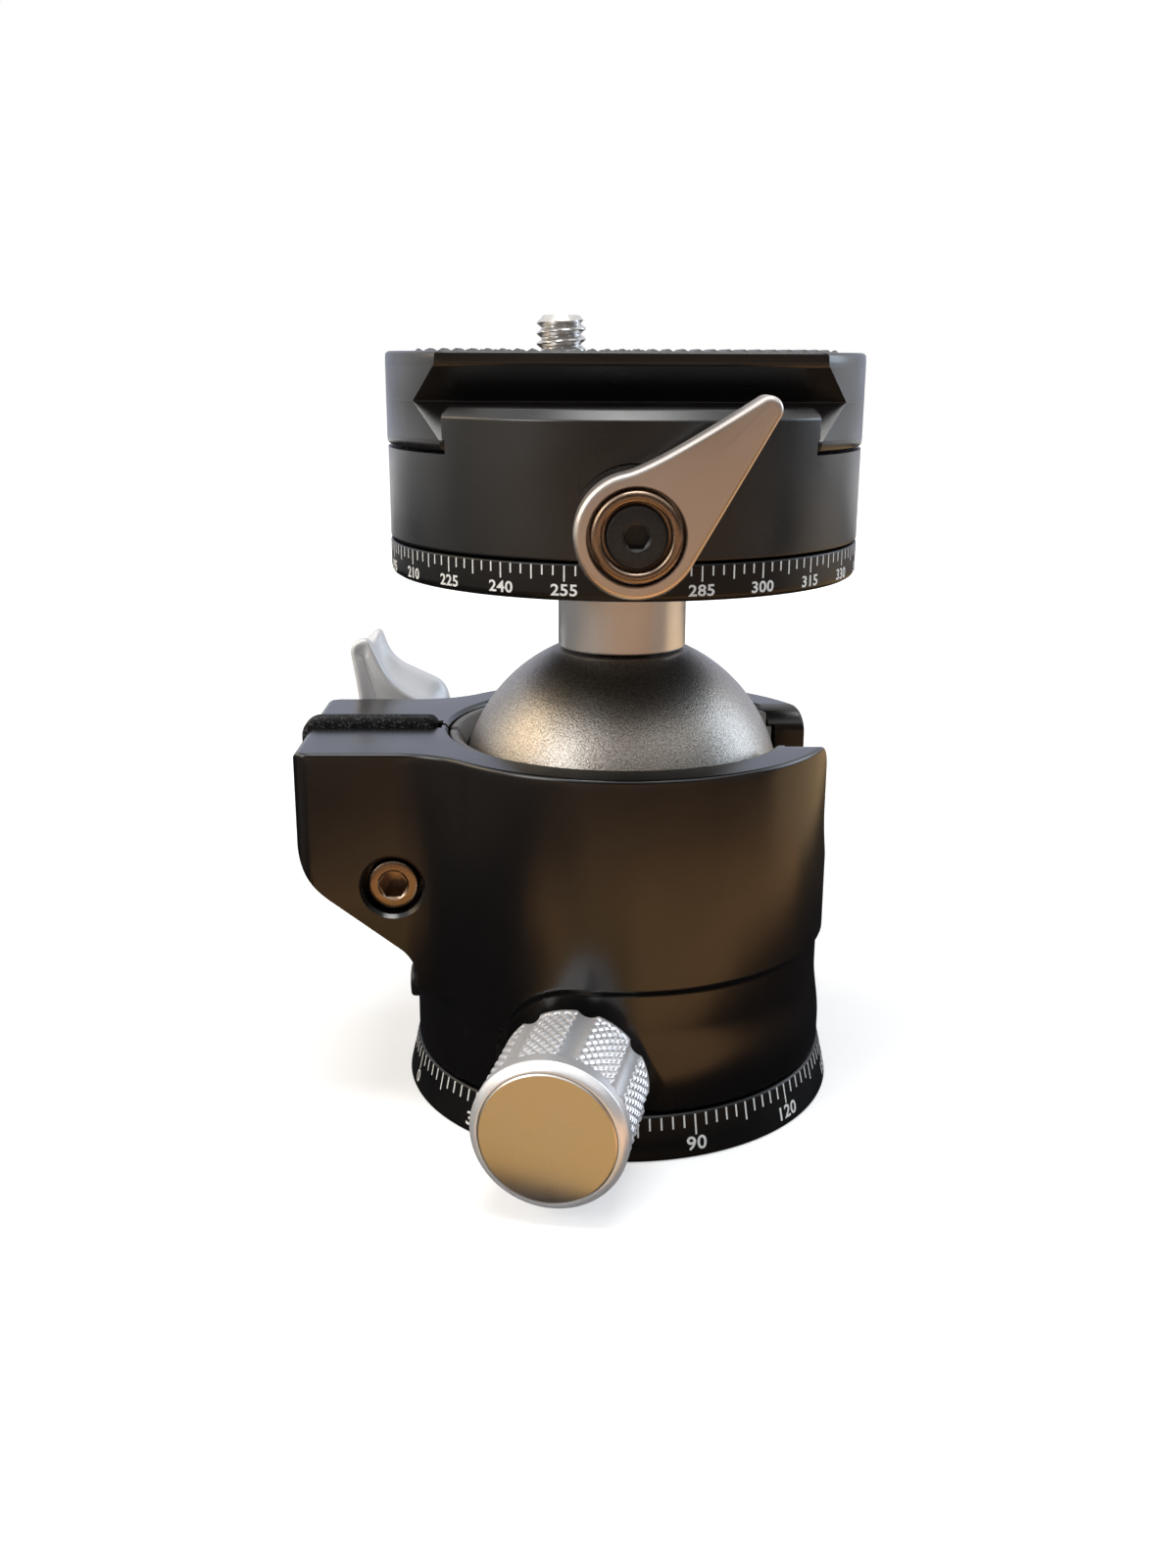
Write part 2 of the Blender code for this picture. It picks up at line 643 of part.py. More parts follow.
# Housing: a turned body joined to a block with the two ears, then hollowed, split and notched
def make_housing():
    profile = [(0, rim_height), (housing_radius - edge_break, rim_height)]
    profile += [(housing_radius, rim_height - edge_break)]
    profile += [(housing_radius, housing_bottom + edge_break), (housing_radius - edge_break, housing_bottom)]
    profile += [(0, housing_bottom)]
    body = finish(turned("housing", profile, fine_steps), black_anodised)

    reach = housing_radius + ear_fillet
    fillet_y = ear_half_width + ear_fillet
    fillet_x = -math.sqrt(reach**2 - fillet_y**2)
    touch = math.atan2(fillet_y, -fillet_x)
    side = arc((fillet_x, -fillet_y), ear_fillet, touch, math.pi / 2)
    side += rounded([(fillet_x, -ear_half_width, 0), (-ear_reach, -ear_half_width, ear_corner), (-ear_reach, 0, 0)])[1:-1]
    plan = side + [(x, -y) for x, y in reversed(side)]
    plan += [(-ear_root, ear_root), (-ear_root, -ear_root)]
    ears = slab("ear_block", [plan], ear_bottom - overrun, rim_height, cutters)
    outline = rounded(
        [
            (-ear_root, rim_height + overrun, 0),
            (-ear_reach + ear_corner, rim_height + overrun, 0),
            (-ear_reach + ear_corner, rim_height, 0),
            (-ear_reach, rim_height - ear_corner, 0),
            (-ear_reach, ear_knee_height, ear_knee_round),
            (-ear_foot_reach, ear_foot_height, ear_foot_round),
            (-ear_foot_reach, ear_bottom, 0),
            (-ear_root, ear_bottom, 0),
        ]
    )
    depth = fillet_y + overrun
    side_view = place(slab("ear_side_view", [outline], -depth, depth, cutters), turn=toward_front)
    combine(ears, side_view, "INTERSECT")
    combine(body, ears, "UNION")

    cup = cup_chamber_radius
    washer = retaining_washer_radius + gap
    profile = [(0, rim_height + overrun), (mouth_radius, rim_height + overrun), (mouth_radius, rim_height)]
    profile += [(throat_radius, liner_chamber_roof + throat_land), (throat_radius, liner_chamber_roof)]
    profile += [(liner_chamber_radius, liner_chamber_roof), (liner_chamber_radius, liner_chamber_floor)]
    profile += [(cup, liner_chamber_floor), (cup, cup_ledge), (washer, cup_ledge), (washer, spindle_top)]
    profile += [(spindle_radius + gap, spindle_top), (spindle_radius + gap, housing_bottom - overrun)]
    profile += [(0, housing_bottom - overrun)]
    combine(body, turned("housing_bore", profile, fine_steps, collection=cutters))

    slit = box(
        "slit",
        (-ear_reach - overrun, -slit_half_width, slit_floor),
        (-ear_root, slit_half_width, rim_height + overrun),
        cutters,
    )
    combine(body, slit)
    relief = rod("slit_relief", slit_relief_radius, ear_root, ear_reach + overrun, screw_steps, collection=cutters)
    combine(body, place(relief, (0, 0, slit_floor), toward_left))

    combine(body, drop_notch("drop_notch", notch_half_width, notch_corner))

    top = rim_height + overrun
    channel = box(
        "seal_channel",
        (-ear_reach - overrun, -seal_half_width - gap, rim_height + seal_proud - seal_height - gap),
        (-seal_end_reach + gap, seal_half_width + gap, top),
        cutters,
    )
    combine(body, channel)

    low = housing_radius - band_depth
    out = housing_radius + overrun
    profile = [(out, band_top), (out, band_bottom), (housing_radius, band_bottom), (low, band_top - band_step)]
    profile += [(low + band_depth, band_top)]
    band = turned("relief_band", profile, fine_steps, closed=True, collection=cutters)
    keep = box("band_side", (band_start, -out, band_bottom - overrun), (out, out, band_top + overrun), cutters)
    combine(band, keep, "INTERSECT")
    combine(body, band)
    seat = rod("pan_knob_seat", pan_seat_radius, pan_seat_reach, pan_knob_back + overrun, round_steps, collection=cutters)
    combine(body, place(seat, (0, 0, pan_lock_height), toward_pan_knob))
    hole = rod("pan_screw_hole", pan_screw_radius + gap, spindle_radius, housing_radius, small_steps, collection=cutters)
    combine(body, place(hole, (0, 0, pan_lock_height), toward_pan_knob))

    spot = (0, 0, stop_screw_height)
    seat = housing_radius + gap
    face = seat + stop_head_height
    profile = [(0, face), (stop_head_radius - edge_break, face), (stop_head_radius, face - edge_break)]
    profile += [(stop_head_radius, seat), (stop_screw_radius, seat), (stop_screw_radius, stop_screw_start)]
    profile += [(0, stop_screw_start)]
    finish(place(turned("pan_stop_screw", profile, small_steps), spot, toward_left), black_steel)
    hole = rod(
        "stop_screw_hole", stop_screw_radius + gap, stop_screw_start - gap, seat, small_steps, collection=cutters
    )
    combine(body, place(hole, spot, toward_left))

    spot = (-clamp_bolt_reach, 0, clamp_bolt_height)
    bore = clamp_bolt_radius + gap
    head_floor = ear_half_width - clamp_bolt_sunk - clamp_bolt_head_length - gap
    profile = [(0, ear_half_width + overrun), (counterbore_radius, ear_half_width + overrun)]
    profile += [(counterbore_radius, head_floor), (bore, head_floor), (bore, -ear_half_width), (spot_face_radius, -ear_half_width)]
    profile += [(spot_face_radius, -housing_radius), (0, -housing_radius)]
    hole = turned("clamp_bolt_hole", profile, small_steps, collection=cutters)
    combine(body, place(hole, spot, toward_front))

    start = -ear_reach - seal_overhang
    outline = [(-seal_half_width, rim_height + seal_proud - seal_height), (seal_half_width, rim_height + seal_proud - seal_height)]
    outline += arc((0, rim_height + seal_proud - seal_half_width), seal_half_width, 0, math.pi)
    strip = slab("slot_seal", [outline], start, -seal_end_reach)
    finish(place(strip, turn=toward_right), rubber)


def drop_notch(name, half_width, corner):
    """Cutter for the U-shaped notch that the stem drops into, with rounded corners at the rim."""
    shoulder = half_width + corner
    side = [(half_width, ball_centre_height)]
    side += arc((shoulder, rim_height - corner), corner, math.pi, math.pi / 2)
    outline = arc((0, ball_centre_height), half_width, math.pi, math.tau, 2 * arc_steps)[:-1] + side
    outline += [(shoulder, rim_height + overrun), (-shoulder, rim_height + overrun)]
    outline += [(-x, y) for x, y in reversed(side[1:])]
    reach = throat_radius - half_width
    return place(slab(name, [outline], reach, housing_radius + overrun, cutters), turn=toward_right)


# Seat of the ball: spring, cup and the two liner shells
def make_ball_seat():
    outer = cup_chamber_radius - gap
    inner = outer - cup_spring_width
    low = cup_ledge + gap
    high = low + cup_spring_rise
    profile = [(outer, low + cup_spring_thickness), (outer, low), (inner, high), (inner, high + cup_spring_thickness)]
    finish(turned("cup_spring", profile, round_steps, closed=True), stainless)

    top = liner_chamber_floor - cup_clearance
    profile = [(outer, top), (outer, cup_bottom)]
    profile += sphere_run(seat_radius, cup_bottom, top, ball_centre_height, arc_steps)
    finish(turned("ball_seat_cup", profile, round_steps, closed=True), acetal)

    outer = liner_chamber_radius - gap
    low = liner_chamber_floor + gap
    high = liner_chamber_roof - gap
    profile = [(outer, high), (outer, low)]
    profile += sphere_run(seat_radius, low, high, ball_centre_height, arc_steps)
    notch = drop_notch("liner_notch", notch_half_width + liner_notch_spare, notch_corner)
    for name, side in (("ball_liner_front", -1), ("ball_liner_rear", 1)):
        shell = finish(turned(name, profile, round_steps, closed=True), acetal)
        near = (-outer - overrun, -side * liner_slit_half_width, low - overrun)
        far = (outer + overrun, -side * (-outer - overrun), high + overrun)
        y = sorted((side * liner_slit_half_width, -side * (outer + overrun)))
        half = box(f"{name}_half", (near[0], y[0], near[2]), (far[0], y[1], far[2]), cutters)
        combine(shell, half)
        combine(shell, notch)


# Clamp bolt through both ears, and the wing lever that tightens it
def make_clamp_bolt():
    spot = (-clamp_bolt_reach, 0, clamp_bolt_height)
    face = ear_half_width - clamp_bolt_sunk
    under_head = face - clamp_bolt_head_length
    end = -(hub_start + lever_insert_length)
    profile = [(0, face), (clamp_bolt_head_radius - edge_break, face), (clamp_bolt_head_radius, face - edge_break)]
    profile += [(clamp_bolt_head_radius, under_head), (clamp_bolt_radius, under_head)]
    profile += [(clamp_bolt_radius, end + edge_break), (clamp_bolt_radius - edge_break, end), (0, end)]
    bolt = finish(turned("clamp_bolt", profile, small_steps), stainless)
    place(bolt, spot, toward_front)
    combine(bolt, hex_socket("clamp_bolt_hex", clamp_bolt_hex_radius, face, clamp_bolt_hex_depth, spot, toward_front))

    bore = clamp_bolt_radius + gap
    washer = ring(
        "wing_lever_washer", bore, lever_washer_radius, rear_face, rear_face + lever_washer_thickness, small_steps
    )
    finish(place(washer, spot, toward_back), stainless)

    insert_end = hub_start + lever_insert_length
    insert = ring("wing_lever_insert", bore, lever_insert_radius, hub_start, insert_end, small_steps)
    finish(place(insert, spot, toward_back), brass)

    end = hub_start + lever_hub_length
    hub = rod("wing_lever", lever_hub_radius, hub_start, end, round_steps, bevel=edge_break)
    finish(place(hub, spot, toward_back), silver_anodised)
    combine(hub, place(wing_blade("wing_blade"), spot), "UNION")
    socket = lever_insert_radius + gap
    hole = rod("wing_lever_bore", socket, hub_start - overrun, insert_end + gap, small_steps, collection=cutters)
    combine(hub, place(hole, spot, toward_back))


def wing_blade(name):
    """The lever's wing: rounded sections lofted outward from the hub, leaning and swept to the left."""
    around = 16
    out = Vector((math.sin(wing_lean), 0, math.cos(wing_lean)))
    across = Vector((math.cos(wing_lean), 0, -math.sin(wing_lean)))
    deep = Vector((0, 1, 0))
    mesh = bpy.data.meshes.new(name)
    work = bmesh.new()
    rings = []
    tables = (wing_reach_shares, wing_width_shares, wing_depth_shares, wing_sweep_shares, wing_setback_shares)
    for reach, width, depth, sweep, setback in zip(*tables):
        middle = out * (wing_length * reach) + across * (wing_half_width * sweep)
        middle += deep * (hub_start + wing_depth * setback)
        section = []
        for i in range(around):
            angle = math.tau * i / around
            side = across * (wing_half_width * width * math.cos(angle))
            section.append(work.verts.new(middle + side + deep * (wing_half_depth * depth * math.sin(angle))))
        rings.append(section)
    for low, high in zip(rings, rings[1:]):
        for i in range(around):
            j = (i + 1) % around
            work.faces.new((low[i], low[j], high[j], high[i]))
    work.faces.new(list(reversed(rings[0])))
    work.faces.new(rings[-1])
    bmesh.ops.recalc_face_normals(work, faces=work.faces)
    work.to_mesh(mesh)
    work.free()
    return add(name, mesh, cutters)


# Pan lock on the housing
def knob(name, back, front, radius, grip_end, bore, bore_end, spot, turn):
    """A knob with a fluted grip, a smooth bevelled rim and a pocket for its cap."""
    bevel = knob_bevel
    cap_radius = radius - knob_cap_margin
    profile = [(0, front), (radius - bevel, front), (radius, front - bevel), (radius, back + edge_break)]
    profile += [(radius - edge_break, back), (0, back)]
    piece = finish(turned(name, profile, round_steps), silver_anodised)
    for flute in flutes(f"{name}_flute", radius, back, grip_end, spot, turn):
        combine(piece, flute)
    pocket_floor = front - knob_cap_thickness
    pocket = rod(f"{name}_pocket", cap_radius + gap, pocket_floor, front + overrun, round_steps, collection=cutters)
    combine(piece, place(pocket, spot, turn))
    hole = rod(f"{name}_bore", bore + gap, back - overrun, bore_end, small_steps, collection=cutters)
    combine(piece, place(hole, spot, turn))
    cap = rod(f"{name}_cap", cap_radius, pocket_floor + gap, front + gap, round_steps, bevel=gap)
    finish(place(cap, spot, turn), silver_anodised)
    return place(piece, spot, turn)


def brake_shoe(name, radius, spindle, groove, back, height, turn):
    """A brass plug whose coned nose fits the spindle's groove."""
    tip = spindle - groove + gap + shoe_tip_radius
    cone = tip + radius - shoe_tip_radius
    profile = [(0, back), (radius, back), (radius, cone), (shoe_tip_radius, tip), (0, tip)]
    return finish(place(turned(name, profile, small_steps), (0, 0, height), turn), brass)


def make_pan_lock():
    spot = (0, 0, pan_lock_height)
    knob(
        "pan_knob",
        pan_knob_back,
        pan_knob_front,
        pan_knob_radius,
        pan_knob_front - pan_knob_rim,
        pan_screw_radius,
        pan_screw_end + gap,
        spot,
        toward_pan_knob,
    )
    screw = rod("pan_lock_screw", pan_screw_radius, pan_screw_start, pan_screw_end, small_steps, bevel=edge_break)
    finish(place(screw, spot, toward_pan_knob), stainless)
    back = pan_screw_start - gap
    brake_shoe("pan_brake_shoe", shoe_radius, spindle_radius, groove_depth, back, pan_lock_height, toward_pan_knob)


# Ball, stem sleeve and what the stem bolt holds on top
def make_ball():
    flat = stem_foot
    hole = stem_bolt_radius + gap
    hole_floor = flat - stem_bolt_depth - gap
    run = sphere_run(ball_radius, flat, ball_centre_height - ball_radius, ball_centre_height, 2 * arc_steps)
    profile = [(0, hole_floor), (hole, hole_floor), (hole, flat)] + run[:-1]
    profile += [(0, ball_centre_height - ball_radius)]
    local = [(radius, height - ball_centre_height) for radius, height in profile]
    finish(place(turned("ball", local, round_steps), (0, 0, ball_centre_height)), ball_black)

    sleeve_bottom = flat + gap
    sleeve = ring("stem_sleeve", hole, stem_radius, sleeve_bottom, ring_bottom - gap, round_steps)
    finish(sleeve, silver_anodised)

    recess_floor = ring_top - bearing_thickness - gap
    inner = top_bearing_inner_radius - gap
    outer = top_bearing_outer_radius + gap
    profile = [(ring_radius, ring_top), (ring_radius, ring_bottom + ring_bevel), (ring_radius - ring_bevel, ring_bottom)]
    profile += [(hole, ring_bottom), (hole, ring_top), (inner, ring_top), (inner, recess_floor)]
    profile += [(outer, recess_floor), (outer, ring_top)]
    finish(turned("top_scale_ring", profile, fine_steps, closed=True), black_anodised)
    washer = ring(
        "top_bearing_washer",
        top_bearing_inner_radius,
        top_bearing_outer_radius,
        ring_top - bearing_thickness,
        ring_top,
        round_steps,
    )
    finish(washer, bearing_plastic)

    head_seat = top_spindle_top - top_counterbore_depth
    head_room = stem_bolt_head_radius + gap
    profile = [(top_spindle_radius, top_spindle_top), (top_spindle_radius, top_lock_height + top_groove_depth)]
    profile += [(top_spindle_radius - top_groove_depth, top_lock_height)]
    profile += [(top_spindle_radius, top_lock_height - top_groove_depth), (top_spindle_radius, clamp_bottom)]
    profile += [(hole, clamp_bottom), (hole, head_seat), (head_room, head_seat), (head_room, top_spindle_top)]
    spindle = finish(turned("top_spindle", profile, round_steps, closed=True), stainless)

    top = top_washer_bottom + top_washer_thickness
    washer = ring("top_retaining_washer", head_room, top_washer_radius, top_washer_bottom, top, round_steps)
    finish(washer, stainless)
    for i in range(top_washer_screw_count):
        x, y = on_circle(top_washer_bolt_circle, i, top_washer_screw_count)
        sizes = (
            top_washer_screw_radius,
            top_washer_screw_head_radius,
            top_washer_screw_head_height,
            top_washer_screw_length,
        )
        screw = countersunk(f"top_washer_screw_{i + 1}", *sizes, 0, screw_steps)
        finish(place(screw, (x, y, top)), black_steel)
        hole_cutter = countersunk(f"top_washer_hole_{i + 1}", *sizes, gap, screw_steps, cutters)
        combine(washer, place(hole_cutter, (x, y, top)))
        combine(spindle, hole_cutter)

    under_head = head_seat + gap
    head_top = under_head + stem_bolt_head_height
    bolt_end = flat - stem_bolt_depth
    profile = [(0, head_top), (stem_bolt_head_radius - edge_break, head_top)]
    profile += [(stem_bolt_head_radius, head_top - edge_break), (stem_bolt_head_radius, under_head)]
    profile += [(stem_bolt_radius, under_head), (stem_bolt_radius, bolt_end + edge_break)]
    profile += [(stem_bolt_radius - edge_break, bolt_end), (0, bolt_end)]
    bolt = finish(turned("stem_bolt", profile, small_steps), black_steel)
    combine(bolt, hex_socket("stem_bolt_hex", stem_hex_radius, head_top, stem_hex_depth))


# Dovetail clamp
def jaw_disc(name):
    """The full disc that the clamp base and the moving jaw are both cut from."""
    profile = [(0, jaw_top), (clamp_radius - jaw_bevel, jaw_top), (clamp_radius, jaw_top - jaw_bevel)]
    profile += [(clamp_radius, clamp_bottom + edge_break), (clamp_radius - edge_break, clamp_bottom)]
    profile += [(0, clamp_bottom)]
    return finish(turned(name, profile, fine_steps), black_anodised)


def dovetail_channel():
    """The channel between the jaws, with both lips undercut, and the two ends of the jaws."""
    flank = gap * math.sqrt(2)
    foot = plate_foot_half_width + flank
    slope = (plate_foot_half_width - plate_waist) / (plate_waist_height - plate_foot_height)
    lip = plate_foot_half_width - slope * (jaw_top - plate_foot_height) + flank
    side = [(foot, clamp_floor_height), (foot, plate_foot_height), (lip, jaw_top), (lip, jaw_top + overrun)]
    outline = side + [(-y, z) for y, z in reversed(side)]
    reach = clamp_radius + overrun
    channel = place(slab("dovetail_channel", [outline], -reach, reach, cutters), turn=toward_right)
    ends = []
    for name, side_sign in (("left_jaw_end", -1), ("right_jaw_end", 1)):
        corner = jaw_half_length - jaw_corner
        height = jaw_top - jaw_corner
        outline = [(jaw_half_length, clamp_floor_height), (reach, clamp_floor_height), (reach, jaw_top + overrun)]
        outline += [(corner, jaw_top + overrun), (corner, jaw_top)]
        outline += arc((corner, height), jaw_corner, math.pi / 2, 0)[1:]
        outline = [(side_sign * x, z) for x, z in outline]
        ends.append(place(slab(name, [outline], -reach, reach, cutters), turn=toward_front))
    return [channel] + ends


def make_clamp():
    base = jaw_disc("clamp_base")
    jaw = jaw_disc("rear_jaw")
    for cutter in dovetail_channel():
        combine(base, cutter)
        combine(jaw, cutter)
    reach = clamp_radius + overrun
    low = clamp_bottom - overrun
    high = jaw_top + overrun
    combine(base, box("jaw_side", (-reach, jaw_split, low), (reach, reach, high), cutters))
    combine(jaw, box("base_side", (-reach, -reach, low), (reach, jaw_split + gap, high), cutters))

    bore = top_spindle_radius + gap
    recess = top_washer_radius + gap
    profile = [(0, high), (recess, high), (recess, top_spindle_top), (bore, top_spindle_top), (bore, low), (0, low)]
    combine(base, turned("clamp_bore", profile, round_steps, collection=cutters))

    for side, sign in (("left", -1), ("right", 1)):
        spot = (sign * guide_pin_spacing, 0, guide_height)
        pin = rod(f"jaw_guide_pin_{side}", guide_pin_radius, guide_pin_start, guide_pin_end, screw_steps, gap)
        finish(place(pin, spot, toward_back), stainless)
        hole = rod(
            f"guide_hole_{side}",
            guide_pin_radius + gap,
            guide_pin_start - gap,
            guide_pin_end + gap,
            screw_steps,
            collection=cutters,
        )
        combine(base, place(hole, spot, toward_back))
        combine(jaw, hole)
        spot = (sign * jaw_spring_spacing, 0, guide_height)
        finish(place(jaw_spring(f"jaw_spring_{side}"), spot, toward_back), stainless)
        pocket = rod(
            f"spring_pocket_{side}",
            jaw_spring_radius + jaw_spring_wire + gap,
            jaw_spring_start - jaw_spring_wire - gap,
            jaw_spring_end + jaw_spring_wire + gap,
            screw_steps,
            collection=cutters,
        )
        combine(base, place(pocket, spot, toward_back))
        combine(jaw, pocket)

    spot = (0, 0, stud_height)
    stud = rod("jaw_stud", stud_radius, stud_start, stud_end, small_steps, bevel=edge_break)
    finish(place(stud, spot, toward_back), stainless)
    hole = rod("stud_hole", stud_radius + gap, top_spindle_radius, clamp_radius + overrun, small_steps, collection=cutters)
    combine(base, place(hole, spot, toward_back))
    combine(jaw, hole)
    seat = rod("jaw_knob_seat", jaw_seat_radius, jaw_seat_reach, clamp_radius + overrun, small_steps, collection=cutters)
    combine(jaw, place(seat, spot, toward_back))
    washer_start = jaw_seat_reach + gap
    washer_end = washer_start + jaw_washer_thickness
    washer = ring("jaw_knob_washer", stud_radius + gap, jaw_washer_radius, washer_start, washer_end, small_steps)
    finish(place(washer, spot, toward_back), stainless)
    knob_end = jaw_knob_start + jaw_knob_length
    knob(
        "jaw_knob",
        jaw_knob_start,
        knob_end,
        jaw_knob_radius,
        knob_end - jaw_knob_rim,
        stud_radius,
        stud_end + gap,
        spot,
        toward_back,
    )

    spot = (0, 0, top_lock_height)
    seat = rod("lever_seat", lever_seat_radius, lever_seat_reach, clamp_radius + overrun, round_steps, collection=cutters)
    combine(base, place(seat, spot, toward_front))
    hole = rod(
        "lever_screw_hole", lever_screw_radius + gap, top_spindle_radius, clamp_radius, small_steps, collection=cutters
    )
    combine(base, place(hole, spot, toward_front))


def jaw_spring(name):
    """A small compression spring along local Z."""
    curve = bpy.data.curves.new(name, "CURVE")
    curve.dimensions = "3D"
    curve.bevel_depth = jaw_spring_wire
    curve.bevel_resolution = 0
    curve.use_fill_caps = True
    count = jaw_spring_turns * jaw_spring_sides
    spline = curve.splines.new("POLY")
    spline.points.add(count)
    for i, point in enumerate(spline.points):
        angle = math.tau * i / jaw_spring_sides
        height = jaw_spring_start + (jaw_spring_end - jaw_spring_start) * i / count
        point.co = (jaw_spring_radius * math.cos(angle), jaw_spring_radius * math.sin(angle), height, 1)
    guide = bpy.data.objects.new(name, curve)
    cutters.objects.link(guide)
    bpy.context.view_layer.update()
    mesh = bpy.data.meshes.new_from_object(guide.evaluated_get(bpy.context.evaluated_depsgraph_get()))
    bpy.data.objects.remove(guide, do_unlink=True)
    work = bmesh.new()
    work.from_mesh(mesh)
    bmesh.ops.remove_doubles(work, verts=work.verts, dist=merge_distance)
    bmesh.ops.recalc_face_normals(work, faces=work.faces)
    work.to_mesh(mesh)
    work.free()
    return add(name, mesh, model)


# Lock lever of the upper pan
def make_top_lever():
    spot = (0, 0, top_lock_height)
    bush_start = lever_seat_reach + gap
    bush_end = bush_start + lever_bush_length
    bush = ring("top_lever_bush", lever_screw_radius + gap, lever_bush_radius, bush_start, bush_end, small_steps)
    finish(place(bush, spot, toward_front), stainless)

    open_angle = math.acos((lever_hub - lever_tip) / lever_arm)
    tip = (lever_arm * math.cos(lever_angle), lever_arm * math.sin(lever_angle))
    outline = arc((0, 0), lever_hub, lever_angle + open_angle, lever_angle + math.tau - open_angle, 5 * arc_steps)
    outline += arc(tip, lever_tip, lever_angle - open_angle, lever_angle + open_angle, arc_steps)
    lever = finish(slab("top_lever", [outline], lever_back, lever_front), silver_anodised)
    bevel = lever.modifiers.new("edges", "BEVEL")
    bevel.width = lever_bevel
    bevel.segments = 1
    bevel.limit_method = "ANGLE"
    bevel.angle_limit = math.radians(60)
    place(lever, spot, toward_front)
    bore = rod(
        "top_lever_bore",
        lever_ring_radius + gap,
        lever_back + gap,
        lever_front + overrun,
        round_steps,
        collection=cutters,
    )
    combine(lever, place(bore, spot, toward_front))
    hole = rod(
        "top_lever_hole", lever_screw_radius + gap, lever_back - overrun, lever_front, small_steps, collection=cutters
    )
    combine(lever, place(hole, spot, toward_front))

    ring_start = lever_back + 2 * gap
    ring_end = lever_front + lever_ring_proud
    round_over = (lever_ring_radius - lever_ring_bore) / 2
    head_start = ring_end - lever_screw_head_length
    profile = [(lever_ring_bore + round_over, ring_end), (lever_ring_radius, ring_end - round_over)]
    profile += [(lever_ring_radius, ring_start), (lever_screw_radius + gap, ring_start)]
    profile += [(lever_screw_radius + gap, head_start - gap), (lever_ring_bore, head_start - gap)]
    profile += [(lever_ring_bore, ring_end - round_over)]
    bezel = finish(turned("top_lever_ring", profile, round_steps, closed=True), stainless)
    place(bezel, spot, toward_front)

    head = lever_ring_bore - gap
    face = ring_end - round_over
    profile = [(0, face), (head - gap, face), (head, face - gap), (head, head_start), (lever_screw_radius, head_start)]
    profile += [(lever_screw_radius, lever_screw_end + edge_break), (lever_screw_radius - edge_break, lever_screw_end)]
    profile += [(0, lever_screw_end)]
    screw = finish(turned("top_lever_screw", profile, small_steps), black_steel)
    place(screw, spot, toward_front)
    combine(screw, hex_socket("lever_hex", lever_hex_radius, face, lever_hex_depth, spot, toward_front))
    back = lever_screw_end - gap
    brake_shoe("top_brake_shoe", top_shoe_radius, top_spindle_radius, top_groove_depth, back, top_lock_height, toward_front)


# Quick-release plate
def make_plate():
    profile = [(0, plate_top), (plate_radius - plate_bevel, plate_top), (plate_radius, plate_top - plate_bevel)]
    profile += [(plate_radius, plate_bottom + plate_bevel), (plate_radius - plate_bevel, plate_bottom)]
    profile += [(0, plate_bottom)]
    plate = finish(turned("quick_release_plate", profile, fine_steps), black_anodised)
    out = plate_radius + overrun
    for name, sign in (("front_dovetail", -1), ("rear_dovetail", 1)):
        outline = [(plate_half_width, plate_top + overrun), (plate_half_width, plate_top - plate_flange)]
        outline += [(plate_waist, plate_waist_height), (plate_foot_half_width, plate_foot_height)]
        outline += [(plate_foot_half_width, plate_bottom - overrun), (out, plate_bottom - overrun)]
        outline += [(out, plate_top + overrun)]
        outline = [(sign * y, z) for y, z in outline]
        combine(plate, place(slab(name, [outline], -out, out, cutters), turn=toward_right))

    recess = rounded(
        [
            (-recess_half_length, -recess_half_width, recess_half_width / 2),
            (recess_half_length, -recess_half_width, recess_half_width / 2),
            (recess_half_length, recess_half_width, recess_half_width / 2),
            (-recess_half_length, recess_half_width, recess_half_width / 2),
        ]
    )
    combine(plate, slab("plate_recess", [recess], plate_bottom - overrun, recess_roof, cutters))
    straight = slot_half_length - slot_half_width
    slot = arc((straight, 0), slot_half_width, -math.pi / 2, math.pi / 2)
    slot += arc((-straight, 0), slot_half_width, math.pi / 2, math.pi * 3 / 2)
    combine(plate, slab("plate_slot", [slot], recess_roof - overrun, plate_top + overrun, cutters))

    floor = plate_top - pad_depth
    for name, sign in (("plate_pad_front", -1), ("plate_pad_rear", 1)):
        pad = slab(name, [pad_outline(sign, 0)], floor + gap, plate_top + pad_proud)
        finish(pad, rubber)
        combine(plate, slab(f"{name}_pocket", [pad_outline(sign, gap)], floor, plate_top + overrun, cutters))


def pad_outline(sign, spare):
    """A segment of a disc on one side of the slot: straight inner and outer sides, round ends."""
    radius = pad_radius + spare
    inner = pad_inner - spare
    outer = pad_outer + spare
    first = math.asin(inner / radius)
    last = math.asin(outer / radius)
    points = arc((0, 0), radius, first, last) + arc((0, 0), radius, math.pi - last, math.pi - first)
    return [(x, sign * y) for x, y in points]


